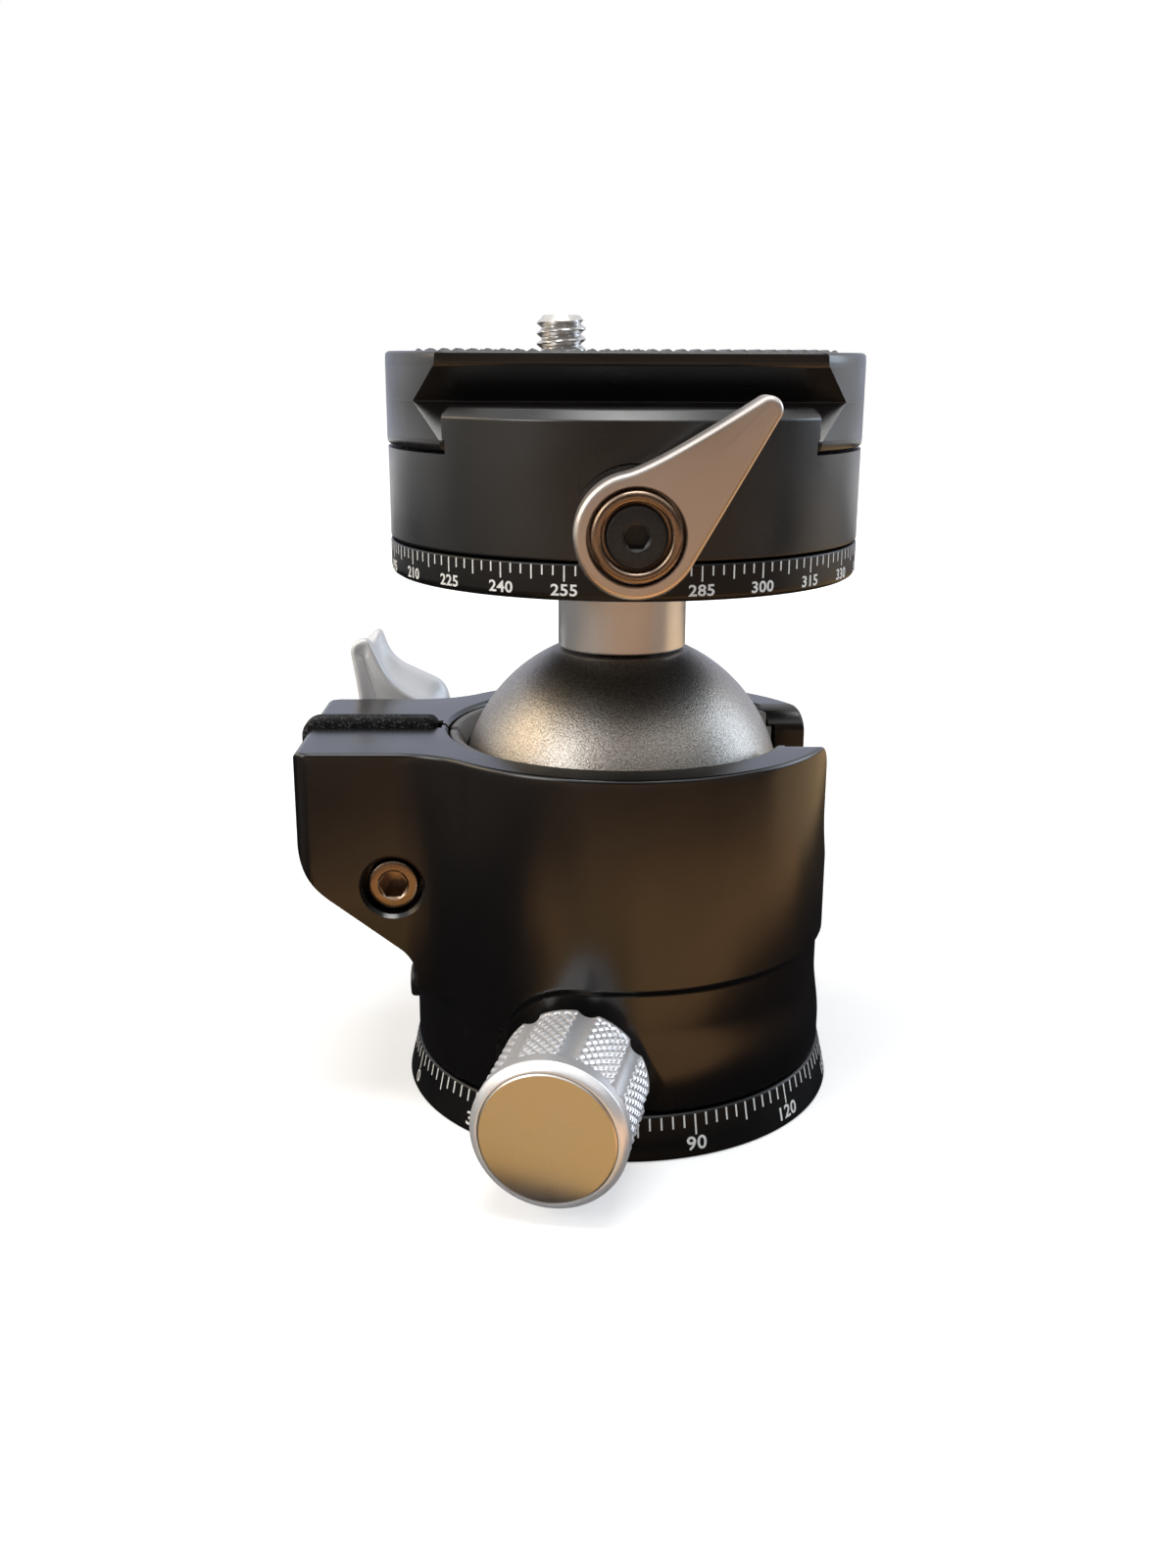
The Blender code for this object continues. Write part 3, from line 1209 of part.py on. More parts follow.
def make_camera_screw():
    spot = (camera_screw_offset, 0, 0)
    washer_top = recess_roof - gap
    washer_bottom = washer_top - camera_washer_thickness
    head_top = washer_bottom - gap
    head_bottom = head_top - camera_head_thickness
    slider = ring(
        "camera_screw_washer", camera_thread_radius + gap, camera_head_radius, washer_bottom, washer_top, small_steps
    )
    finish(place(slider, spot), bearing_plastic)
    tip = plate_top + camera_thread_proud
    profile = [(0, tip), (camera_thread_radius - edge_break, tip), (camera_thread_radius, tip - edge_break)]
    profile += [(camera_thread_radius, head_top), (camera_head_radius, head_top)]
    profile += [(camera_head_radius, head_bottom + edge_break), (camera_head_radius - edge_break, head_bottom)]
    profile += [(0, head_bottom)]
    screw = finish(turned("camera_screw", profile, small_steps), stainless)
    place(screw, spot)
    reach = camera_head_radius + overrun
    low = (camera_screw_offset - reach, -camera_slot_half_width, head_bottom - overrun)
    high = (camera_screw_offset + reach, camera_slot_half_width, head_bottom + camera_slot_depth)
    combine(screw, box("camera_screw_slot", low, high, cutters))


make_base()
make_housing()
make_ball_seat()
make_clamp_bolt()
make_pan_lock()
make_ball()
make_clamp()
make_top_lever()
make_plate()
make_camera_screw()
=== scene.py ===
"""Tripod ball head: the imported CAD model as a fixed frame, with the visible pieces made finely round it.

Sizes are in millimetres, in the CAD model's own frame: Z up, the ears towards -X, the fixed jaw and
the small lever towards -Y. A finished mesh is stored in metres.
"""
import math

import bpy
import numpy as np
from mathutils import Matrix, Vector


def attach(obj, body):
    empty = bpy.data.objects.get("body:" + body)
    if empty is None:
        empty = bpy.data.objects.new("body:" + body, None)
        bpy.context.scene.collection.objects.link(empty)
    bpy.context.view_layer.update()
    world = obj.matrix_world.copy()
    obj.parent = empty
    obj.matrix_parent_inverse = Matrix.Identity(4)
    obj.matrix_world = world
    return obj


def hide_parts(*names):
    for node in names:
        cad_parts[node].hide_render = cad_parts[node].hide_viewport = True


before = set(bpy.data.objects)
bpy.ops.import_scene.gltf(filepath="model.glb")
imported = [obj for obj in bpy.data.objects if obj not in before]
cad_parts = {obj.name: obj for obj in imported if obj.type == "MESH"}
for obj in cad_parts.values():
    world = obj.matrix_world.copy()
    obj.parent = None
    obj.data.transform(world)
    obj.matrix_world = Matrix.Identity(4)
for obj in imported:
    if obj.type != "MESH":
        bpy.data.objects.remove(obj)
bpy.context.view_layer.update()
MM = 0.001


# Camera: a long phone lens a hand's breadth above the plate and 19 cm from the head's axis. Its
# place, tilt and reach come from the ellipses of the rims and the ticks of both scales.
camera_place = np.array([-8.2, -194.9, 96.8]) * MM
heading, fall, roll = np.radians([1.12, 16.0, 0.265])
focal_length, long_side = 34.13, 36.0
ahead = np.array([math.sin(heading) * math.cos(fall), math.cos(heading) * math.cos(fall), -math.sin(fall)])
level = np.array([math.cos(heading), -math.sin(heading), 0.0])
upward = np.cross(level, ahead)
right = level * math.cos(roll) + upward * math.sin(roll)
top = upward * math.cos(roll) - level * math.sin(roll)
camera = bpy.data.objects.new("camera", bpy.data.cameras.new("camera"))
camera.data.lens, camera.data.sensor_width = focal_length, long_side
camera.data.clip_start, camera.data.clip_end = 0.01, 20.0
bpy.context.scene.collection.objects.link(camera)
turn = np.eye(4)
turn[:3, 0], turn[:3, 1], turn[:3, 2], turn[:3, 3] = right, top, -ahead, camera_place
camera.matrix_world = Matrix(turn)
bpy.context.scene.camera = camera
bpy.context.scene.view_settings.view_transform = "Standard"


# Studio: a pale table under plain soft boxes. The table and the room show white to the camera and in
# the metal, and the table keeps the head's shadow.
room_light, room_seen = 0.34, 1.0
table_colour, table_half, table_drop = (0.80, 0.80, 0.80, 1.0), 3.0, 0.02 * MM
glow_near, glow_far, glow_start, glow_end = 0.47, 0.80, 0.10, 0.45


def set_inputs(node, **values):
    """Sets inputs of a node, named as in Blender with a low line for each space."""
    for name, value in values.items():
        node.inputs[name.replace("_", " ")].default_value = value


def new_look(name):
    """A material with its nodes and links."""
    look = bpy.data.materials.new(name)
    look.use_nodes = True
    return look, look.node_tree.nodes, look.node_tree.links


def sheet(name, corners, look):
    """A flat sheet with its corners in metres."""
    mesh = bpy.data.meshes.new(name)
    mesh.from_pydata(corners, [], [tuple(range(len(corners)))])
    mesh.materials.append(look)
    made = bpy.data.objects.new(name, mesh)
    bpy.context.scene.collection.objects.link(made)
    return made


def seen_directly(nodes, links):
    """One for a ray from the camera, a mirror or a glass, and nought for soft light."""
    path = nodes.new("ShaderNodeLightPath")
    sums = []
    for pair in (("Is Camera Ray", "Is Glossy Ray"), (None, "Is Transmission Ray")):
        add = nodes.new("ShaderNodeMath")
        add.operation, add.use_clamp = "ADD", True
        links.new(path.outputs[pair[0]] if pair[0] else sums[0].outputs[0], add.inputs[0])
        links.new(path.outputs[pair[1]], add.inputs[1])
        sums.append(add)
    return sums[-1].outputs[0]


room = bpy.context.scene.world or bpy.data.worlds.new("room")
bpy.context.scene.world = room
room.use_nodes = True
nodes, links = room.node_tree.nodes, room.node_tree.links
strength = nodes.new("ShaderNodeMapRange")
set_inputs(strength, To_Min=room_light, To_Max=room_seen)
links.new(seen_directly(nodes, links), strength.inputs["Value"])
links.new(strength.outputs["Result"], nodes["Background"].inputs["Strength"])
set_inputs(nodes["Background"], Color=(1.0, 1.0, 1.0, 1.0))

table_look, nodes, links = new_look("table")
nodes.remove(nodes["Principled BSDF"])
matt, glow, both, share, far, spread, spot = (nodes.new("ShaderNode" + kind) for kind in (
    "BsdfDiffuse", "Emission", "AddShader", "Math", "VectorMath", "MapRange", "TexCoord",
))
share.operation, far.operation, spread.interpolation_type = "MULTIPLY", "LENGTH", "SMOOTHSTEP"
set_inputs(matt, Color=table_colour)
set_inputs(spread, From_Min=glow_start, From_Max=glow_end, To_Min=glow_near, To_Max=glow_far)
links.new(spot.outputs["Object"], far.inputs[0])
links.new(far.outputs["Value"], spread.inputs["Value"])
links.new(spread.outputs["Result"], share.inputs[1])
links.new(seen_directly(nodes, links), share.inputs[0])
links.new(share.outputs[0], glow.inputs["Strength"])
links.new(matt.outputs[0], both.inputs[0])
links.new(glow.outputs[0], both.inputs[1])
links.new(both.outputs[0], nodes["Material Output"].inputs["Surface"])
table_corners = [(x * table_half, y * table_half, -table_drop) for x, y in ((-1, -1), (1, -1), (1, 1), (-1, 1))]
table = sheet("table", table_corners, table_look)

# name, place in metres, width, height, watts, colour
soft_boxes = [
    ("window_left", (-0.74, -0.60, 0.52), 0.40, 0.6, 3.5, (1.0, 1.0, 1.0)),
    ("window_right", (0.88, 0.22, 0.36), 0.50, 0.5, 3.0, (0.68, 0.82, 1.0)),
    ("lamp_above", (0.00, -0.17, 1.10), 0.6, 0.36, 5.2, (1.0, 0.99, 0.98)),
    ("warm_left", (-0.88, 0.00, 0.55), 0.55, 0.45, 2.6, (1.0, 0.76, 0.46)),
]
for name, spot, width, height, watts, colour in soft_boxes:
    lamp = bpy.data.lights.new(name, "AREA")
    lamp.shape, lamp.size, lamp.size_y, lamp.energy, lamp.color = "RECTANGLE", width, height, watts, colour
    holder = bpy.data.objects.new(name, lamp)
    bpy.context.scene.collection.objects.link(holder)
    holder.location = spot
    holder.rotation_euler = (Vector((0, 0, 0.05)) - Vector(spot)).to_track_quat("-Z", "Y").to_euler()

# Boards lie on the table in front and stand round it, outside the picture, as in a room with a wooden
# table top. They are glowing sheets that only the metal shows: a painted reflection of that room, with
# the head's shadow on the table painted in as dark patches. A lying board has a height and its corners,
# a standing one its two feet and its height, all in metres, and each has its colour.
lying_boards = [
    # painted shadow: a dark sheet under the others that shows round the head, where its own shadow falls on the
    # table in the reflection
    ("mat_painted_shadow", -0.00001, [(-0.90, -0.245), (0.90, -0.245), (0.90, 0.60), (-0.90, 0.60)],
     (0.014, 0.013, 0.016)),
    ("mat_middle", 0.001, [(-0.105, -0.30), (0.40, -0.30), (0.40, -0.03), (0.11, -0.03), (0.11, -0.11),
                           (-0.105, -0.11)], (0.16, 0.095, 0.065)),
    # the lit table: its inner edge runs round the rim of the head's painted shadow
    ("mat_near", 0.002, [(-0.082, -0.068), (-0.055, -0.076), (0.004, -0.052), (0.045, -0.050), (0.068, -0.044),
                         (0.086, -0.026), (0.100, 0.0), (0.108, 0.020), (0.138, 0.020), (0.138, -0.030),
                         (0.118, -0.077), (0.082, -0.115), (0.036, -0.137), (-0.040, -0.137), (-0.048, -0.106),
                         (-0.076, -0.098)], (1.25, 0.68, 0.29)),
    # painted shade: a darker patch of table by the pan knob, where the head's shadow falls in the reflection
    ("mat_foot_painted_shade", 0.003, [(-0.040, -0.100), (0.006, -0.100), (0.006, -0.048), (-0.040, -0.048)],
     (0.66, 0.405, 0.145)),
    ("mat_left", 0.001, [(-0.60, -0.30), (-0.125, -0.30), (-0.125, 0.0), (-0.60, 0.0)], (0.16, 0.13, 0.105)),
    ("mat_right", 0.001, [(0.118, -0.03), (0.60, -0.03), (0.60, 0.25), (0.118, 0.25)], (0.95, 0.64, 0.34)),
    ("mat_far", 0.001, [(-1.20, -0.75), (1.10, -0.75), (1.10, -0.30), (-1.20, -0.30)], (0.92, 0.61, 0.40)),
    ("mat_end", 0.001, [(-1.20, -1.30), (1.10, -1.30), (1.10, -0.75), (-1.20, -0.75)], (0.26, 0.17, 0.12)),
]
standing_boards = [
    ("board_front", (-1.30, -1.30), (1.30, -1.30), 0.90, (0.11, 0.075, 0.055)),
    ("board_left", (-1.20, -1.30), (-1.20, 0.10), 0.80, (0.40, 0.37, 0.33)),
    ("board_right", (1.10, -1.30), (1.10, 0.30), 0.80, (0.12, 0.11, 0.10)),
    ("board_back", (-1.40, 1.30), (1.40, 1.30), 0.85, (0.72, 0.76, 0.91)),
]
boards = [(name, [(x, y, z) for x, y in corners], colour) for name, z, corners, colour in lying_boards]
for name, foot, other_foot, high, colour in standing_boards:
    boards.append((name, [(*foot, 0), (*other_foot, 0), (*other_foot, high), (*foot, high)], colour))
for name, corners, colour in boards:
    look, nodes, links = new_look(name)
    set_inputs(nodes["Principled BSDF"], Base_Color=(0, 0, 0, 1), Specular_IOR_Level=0,
               Emission_Color=(*colour, 1), Emission_Strength=1.0)
    board = sheet(name, corners, look)
    board.visible_camera = board.visible_diffuse = board.visible_shadow = board.visible_transmission = False


# Base: a turned disc of black anodised aluminium that carries the lower degree scale. Its middle boss
# takes the steel thread insert, and three screws from below hold the panning spindle on it.
def eased(corners, steps=5):
    """A line through corners (x, y, ease). Within ease of a corner it follows the parabola
    here (1-t)^2 start + 2t(1-t) corner + t^2 end that leaves both sides smoothly."""
    corners = np.asarray(corners, float)
    here, ease = corners[:, :2], corners[:, 2:]
    back, on = np.roll(here, 1, axis=0) - here, np.roll(here, -1, axis=0) - here
    start = here + back / np.linalg.norm(back, axis=1, keepdims=True) * ease
    end = here + on / np.linalg.norm(on, axis=1, keepdims=True) * ease
    t = np.linspace(0, 1, steps)[:, None, None]
    line = (start * (1 - t) ** 2 + here * 2 * t * (1 - t) + end * t**2).transpose(1, 0, 2).reshape(-1, 2)
    return line[np.linalg.norm(line - np.roll(line, 1, axis=0), axis=1) > 1e-6]


def welded(points, faces):
    """Merges points that share a place, drops what has no area and turns a closed skin outwards:
    the volumes between its faces and the origin add up to more than nought when it faces out."""
    _, first, place = np.unique(np.round(points, 5), axis=0, return_index=True, return_inverse=True)
    points, faces = points[first], place.reshape(-1)[faces]
    own = faces != np.roll(faces, -1, axis=1)
    faces = np.take_along_axis(faces, np.argsort(~own, axis=1, kind="stable"), axis=1)
    corners = own.sum(axis=1)
    faces[corners == 3, 3] = faces[corners == 3, 2]
    faces = faces[(corners >= 3) & (faces[:, 0] != faces[:, 2]) & (faces[:, 1] != faces[:, 3])]
    a, b, c, d = points[faces].transpose(1, 0, 2)
    volume = (np.cross(b, c) * a).sum() + (np.cross(c, d) * a).sum()
    return points, faces if volume > 0 else faces[:, ::-1]


def joined(*coordinates):
    """Coordinates side by side along a last axis, spread out to one shape first."""
    return np.stack(np.broadcast_arrays(*coordinates), axis=-1)


def skin(rows, loop=False):
    """A closed surface through points [row, column]: columns run round and meet. Rows meet too in a
    loop, and otherwise the first and last row each lie in one place or on one line."""
    count, around = rows.shape[:2]
    index = np.arange(count * around).reshape(count, around)
    below = np.roll(index, -1, axis=0)
    if not loop:
        index, below = index[:-1], below[:-1]
    faces = joined(index, below, np.roll(below, -1, axis=1), np.roll(index, -1, axis=1))
    return welded(rows.reshape(-1, 3), faces.reshape(-1, 4))


def lathe(profile, sides=192, closed=True, start=0.0):
    """A profile of (radius, height) carried round the axis: (r cos a, r sin a, h). A closed profile is
    a ring, and an open one begins and ends on the axis."""
    angle = start + np.linspace(0, math.tau, sides, endpoint=False)
    radius, height = np.asarray(profile, float)[:, :1], np.asarray(profile, float)[:, 1:]
    rows = joined(radius * np.cos(angle), radius * np.sin(angle), height)
    return skin(rows, loop=closed)


def plug(line, sides):
    """A turned solid. Its line of (radius, height) is joined to the axis at both ends."""
    return lathe([(0, line[0][1]), *line, (0, line[-1][1])], sides, closed=False)


def moved(form, *by):
    """A form set off from its place."""
    return form[0] + by, form[1]


def together(*forms):
    """Several skins as one."""
    counts = np.cumsum([0] + [len(points) for points, _ in forms])
    points = np.concatenate([points for points, _ in forms])
    return points, np.concatenate([faces + count for (_, faces), count in zip(forms, counts)])


def mesh_of(name, form):
    """A form's points and faces as a mesh in metres. A face that names a point twice has a corner less."""
    points, faces = form
    own = faces != np.roll(faces, -1, axis=1)
    sizes = own.sum(axis=1)
    mesh = bpy.data.meshes.new(name)
    mesh.vertices.add(len(points))
    mesh.loops.add(int(sizes.sum()))
    mesh.polygons.add(len(sizes))
    mesh.vertices.foreach_set("co", (points * MM).astype(np.float32).ravel())
    mesh.loops.foreach_set("vertex_index", faces[own].astype(np.int32))
    mesh.polygons.foreach_set("loop_start", (np.cumsum(sizes) - sizes).astype(np.int32))
    mesh.update(calc_edges=True)
    return mesh


def form_of(thing):
    """An object's points, in Blender's units, and its triangles, with its modifiers at work."""
    mesh = thing.evaluated_get(bpy.context.evaluated_depsgraph_get()).to_mesh()
    mesh.calc_loop_triangles()
    points = np.empty(len(mesh.vertices) * 3, np.float32)
    faces = np.empty(len(mesh.loop_triangles) * 3, np.int32)
    mesh.vertices.foreach_get("co", points)
    mesh.loop_triangles.foreach_get("vertices", faces)
    return points.reshape(-1, 3).astype(float), faces.reshape(-1, 3)[:, [0, 1, 2, 2]]


def carved(form, *cutters, way="DIFFERENCE"):
    """The form with each cutter taken away from it, or joined to it where way is UNION."""
    block = bpy.data.objects.new("block", mesh_of("block", form))
    tools = [bpy.data.objects.new("cutter", mesh_of("cutter", cutter)) for cutter in cutters]
    for thing in [block, *tools]:
        bpy.context.scene.collection.objects.link(thing)
    for tool in tools:
        cut = block.modifiers.new("cut", "BOOLEAN")
        cut.object, cut.operation, cut.solver = tool, way, "MANIFOLD"
    bpy.context.view_layer.update()
    points, faces = form_of(block)
    for thing in [block, *tools]:
        bpy.data.meshes.remove(thing.data)
    return welded(points / MM, faces)


def piece(name, form, look, body, slot, *stands_for, crease=32):
    """Makes a piece from a form, smooth except at edges sharper than crease, and sets it on its body."""
    mesh = mesh_of(name, form)
    mesh.materials.append(look)
    mesh.shade_smooth()
    mesh.set_sharp_from_angle(angle=math.radians(crease))
    made = bpy.data.objects.new(name, mesh)
    bpy.context.scene.collection.objects.link(made)
    made.modifiers.new("even shading", "WEIGHTED_NORMAL").keep_sharp = True
    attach(made, body)
    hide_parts(*stands_for)
    return made


slow_low, slow_high = 0.3, 0.7


def finish(name, light, dark, roughness, metallic=1.0, specular=0.5, grain=0.25, relief=0.01, patch=9.0,
           uneven=0.05, spread=(0.0, 1.0)):
    """A blasted, moulded or turned finish. Noise of the grain's size moves the colour from dark to light
    over the spread of its values, and lifts the skin by relief where there is one. Slow noise of the
    patch's size makes the gloss uneven."""
    made, nodes, links = new_look(name)
    shader = nodes["Principled BSDF"]
    set_inputs(shader, Metallic=metallic, Specular_IOR_Level=specular)
    place = nodes.new("ShaderNodeTexCoord")
    fine, slow = nodes.new("ShaderNodeTexNoise"), nodes.new("ShaderNodeTexNoise")
    for noise, size in ((fine, grain), (slow, patch)):
        set_inputs(noise, Scale=1 / (size * MM), Detail=3)
        links.new(place.outputs["Object"], noise.inputs["Vector"])
    shade = nodes.new("ShaderNodeMix")
    shade.data_type = "RGBA"
    set_inputs(shade, A=(*dark, 1), B=(*light, 1))
    tone, gloss = nodes.new("ShaderNodeMapRange"), nodes.new("ShaderNodeMapRange")
    set_inputs(tone, From_Min=spread[0], From_Max=spread[1])
    set_inputs(gloss, From_Min=slow_low, From_Max=slow_high, To_Min=roughness - uneven,
               To_Max=roughness + uneven)
    links.new(fine.outputs["Fac"], tone.inputs["Value"])
    links.new(tone.outputs["Result"], shade.inputs["Factor"])
    links.new(shade.outputs["Result"], shader.inputs["Base Color"])
    links.new(slow.outputs["Fac"], gloss.inputs["Value"])
    links.new(gloss.outputs["Result"], shader.inputs["Roughness"])
    if relief:
        bump = nodes.new("ShaderNodeBump")
        set_inputs(bump, Distance=relief * MM)
        links.new(fine.outputs["Fac"], bump.inputs["Height"])
        links.new(bump.outputs["Normal"], shader.inputs["Normal"])
    return made


base_top, base_radius, base_foot_radius, screw_circle = 5.7, 28.2, 29.5, 12
black_anodised = finish("black_anodised", (0.0050, 0.0045, 0.0045), (0.0025, 0.0022, 0.0022), 0.25, 0.0, 0.70,
                        relief=0, uneven=0.03)
scale_black = finish("scale_black", (0.0045, 0.004, 0.004), (0.0018, 0.0017, 0.0017), 0.36, 0.0, 0.40, 0.35, 0)
base_line = eased([
    (base_radius, base_top, 0.4), (base_foot_radius, 0, 0.5), (6.5, 0, 0.3), (6.5, 9.0, 0.15), (8.2, 9.0, 0.3),
    (8.2, base_top, 0), (15.2, base_top, 0.1), (15.2, 4.7, 0), (21.8, 4.7, 0), (21.8, base_top, 0.1),
])
sink = plug([(3.8, -1), (2.9, 0.1), (1.5, 1.9), (1.5, 12)], 36)
sinks = [
    moved(sink, screw_circle * math.cos(way), screw_circle * math.sin(way), 0)
    for way in np.radians([90, 210, 330])
]
piece("base", carved(lathe(base_line, 360), *sinks), scale_black, "base", "black_anodised", "base_disc")


# Degree scales: short white strokes and figures, printed on the base and on the upper ring. Each
# stroke is a thin bar bent to the ring, and each figure is wrapped round it.
paint_skin, paint_root, figure_width, figure_bold, font_share = 0.03, 0.1, 1.15, 0.035, 1.36
white_paint = finish("white_paint", (0.86, 0.86, 0.84), (0.62, 0.62, 0.60), 0.55, 0.0, 0.4, 0.3, 0.012)


def wrapped(points, azimuth, radius_at):
    """Lays flat points (along, up, proud) on a ring: the angle is azimuth + along / r, and r follows
    the height."""
    radius = radius_at(points[:, 1])
    angle = azimuth + points[:, 0] / radius
    out = radius + points[:, 2]
    return joined(out * np.cos(angle), out * np.sin(angle), points[:, 1])


def strokes(azimuths, high, low, half_width, radius_at):
    """A closed bar for each azimuth, from high to low, which may differ from bar to bar."""
    azimuths, high, low = np.broadcast_arrays(azimuths, high, low)
    corner = np.array([
        (x, v, p) for p in (-paint_root, paint_skin) for v in (0, 1) for x in (-half_width, half_width)
    ])
    up = low[:, None] + (high - low)[:, None] * corner[:, 1]
    flat = joined(corner[:, 0], up, corner[:, 2])
    points = wrapped(flat.reshape(-1, 3), np.repeat(azimuths, 8), radius_at)
    sides = np.array([(4, 5, 7, 6), (0, 2, 3, 1), (0, 1, 5, 4), (2, 6, 7, 3), (0, 4, 6, 2), (1, 3, 7, 5)])
    faces = sides[None] + 8 * np.arange(len(azimuths))[:, None, None]
    return points, faces.reshape(-1, 4)


def figures(values, azimuths, middle, height, radius_at):
    """Bold figures centred on each azimuth, wrapped round the ring."""
    made = []
    for value, azimuth in zip(values, azimuths):
        words = bpy.data.curves.new("figures", "FONT")
        words.body, words.align_x, words.align_y = str(value), "CENTER", "CENTER"
        words.size, words.extrude, words.offset = height * font_share, paint_skin, figure_bold
        words.resolution_u, words.space_character = 3, 1.04
        holder = bpy.data.objects.new("figures", words)
        bpy.context.scene.collection.objects.link(holder)
        bpy.context.view_layer.update()
        points, faces = form_of(holder)
        bpy.data.curves.remove(words)
        made.append((wrapped(points * [figure_width, 1, 1] + [0, middle, 0], azimuth, radius_at), faces))
    return together(*made)


def degree_scale(step, periods, lengths, zero, top, half_width, middle, height, radius_at):
    """A stroke at each step of degrees and a figure at each first period. The lengths are those of a
    stroke at the first period, at the second one and elsewhere."""
    degrees, values = np.arange(0, 360, step), np.arange(0, 360, periods[0])
    length = np.where(degrees % periods[1] == 0, lengths[1], lengths[2])
    length = np.where(degrees % periods[0] == 0, lengths[0], length)
    return together(
        strokes(zero + np.radians(degrees), top, top - length, half_width, radius_at),
        figures(values, zero + np.radians(values), middle, height, radius_at),
    )


def base_side(height):
    """Radius of the base's sloping side at a height."""
    return base_radius + (base_foot_radius - base_radius) * (base_top - height) / base_top


base_marks = degree_scale(
    step=3, periods=(30, 15), lengths=(2.55, 2.3, 1.55), zero=math.radians(-162), top=base_top - 0.25,
    half_width=0.11, middle=1.75, height=1.75, radius_at=base_side,
)
piece("base_scale", base_marks, white_paint, "base", "black_anodised")


# Housing: one block of black anodised aluminium, turned outside and in, with two ears and a slit
# between them that lets the clamp bolt squeeze it round the ball, and a milled drop notch.
body_radius, rim_height, body_foot = 28.05, 49.3, 6.0
ear_half, ear_end, ear_round = 15.7, -41.8, 2.2
fillet_heart, fillet_radius, touch = (-28.93, 27.7), 12.0, math.radians(136.24)
front, rear = -math.pi / 2, math.pi / 2
bolt_axis, stop_axis = (31.7, (-29.6, 0)), (math.pi, 12.3)


def arc(radius, angles):
    """Points on a circle round nought."""
    return joined(radius * np.cos(angles), radius * np.sin(angles))


def raised(line, height):
    """A flat line of (x, y) at a height."""
    return np.column_stack([line, np.full(len(line), height)])


def body_outline(spread):
    """Half of the housing seen from above, moved outwards by spread: the turned wall from the front
    of +X to the touch of the fillet, the fillet's arc, the ear's side, its round corner and its end."""
    wall = np.linspace(0, touch, 182)
    bend = np.linspace(touch - math.pi, -math.pi / 2, 34)[1:]
    corner = np.linspace(math.pi / 2, math.pi, 14)
    hollow, rounding = fillet_radius - spread, ear_round + spread
    corner_heart = (ear_end + ear_round, ear_half - ear_round)
    side_x = np.linspace(fillet_heart[0], corner_heart[0], 16)[1:-1]
    end_y = np.linspace(corner_heart[1], 0, 18)[1:]
    lines = [
        arc(body_radius + spread, wall),
        np.array(fillet_heart) + arc(hollow, bend),
        joined(side_x, ear_half + spread),
        np.array(corner_heart) + arc(rounding, corner),
        joined(ear_end - spread, end_y),
    ]
    half = np.concatenate(lines)
    return np.concatenate([half, (half * [1, -1])[-2:0:-1]])


knob_turn, knob_height = pan_axis = (math.radians(-102.6), 11.4)
relief_top, relief_fall, relief_depth = 22.6, 1.0, 0.75
relief_end, relief_stop = math.radians(112), math.radians(8)
run_out_foot, run_out_rise, run_out_side = 9.0, 8.0, 4


def relief(azimuth, height):
    """Depth of the turned-down band over the pan lock: a smooth step below its top edge to the right
    of the knob's axis, and round the knob in a circle to the left of it, with a slow run-out below."""
    across = body_radius * np.sin(np.clip(azimuth - knob_turn, -1.5, 1.5))
    circle = relief_top - knob_height - np.hypot(across, height - knob_height)
    inside = np.where(azimuth > knob_turn, relief_top - height, circle)
    step = np.clip(inside / relief_fall, 0, 1)
    out = np.where(azimuth > knob_turn, np.clip((height - run_out_foot) / run_out_rise, 0, 1), 1)
    out = np.maximum(out, np.clip((relief_top - knob_height - np.abs(across)) / run_out_side, 0, 1))
    stop = np.clip((relief_end - azimuth) / relief_stop, 0, 1)
    return relief_depth * step * step * (3 - 2 * step) * out * out * (3 - 2 * out) * stop


def body_block():
    """The outline carried up the wall, eased at the rim and the foot, and drawn in to the middle."""
    ease, foot_ease, heart, wall_reach = 0.55, 0.4, [-12, 0, 0], 20
    levels = [(-ease * (1 - t) ** 2, rim_height - ease * t**2) for t in np.linspace(0, 1, 6)]
    levels += [(0, z) for z in (*np.linspace(rim_height - 1.5, 24, 7), *np.arange(23, 8, -0.2), 7, 6.5)]
    levels += [(-foot_ease * t**2, body_foot + foot_ease * (1 - t) ** 2) for t in np.linspace(0, 1, 4)]
    rows = [raised(body_outline(spread), z) for spread, z in levels]
    rows = np.stack([rows[0] * [0, 0, 1] + heart, *rows, rows[-1] * [0, 0, 1] + heart])
    azimuth = np.arctan2(rows[..., 1], rows[..., 0])
    outside = np.hypot(rows[..., 0], rows[..., 1]) > wall_reach
    shrink = 1 - relief(azimuth, rows[..., 2]) * outside / body_radius
    shrink[[0, -1]] = 1
    return skin(rows * joined(shrink, shrink, 1))


def bar(sections, hearts):
    """Sections [place, point] joined along their length, with each end drawn in to its heart."""
    first, last = (np.broadcast_to(heart, sections[0].shape) for heart in hearts)
    return skin(np.concatenate([first[None], sections, last[None]]))


def prism(line, axis, low, high, heart=None):
    """A closed line in the plane of two axes, carried from low to high along the third. Each end is a
    fan round the heart, or round the middle of the line's points."""
    line = np.asarray(line, float)
    heart = line.mean(axis=0) if heart is None else np.asarray(heart, float)
    sections = np.stack([np.insert(line, axis, place, axis=1) for place in (low, high)])
    return bar(sections, [np.insert(heart, axis, place) for place in (low, high)])


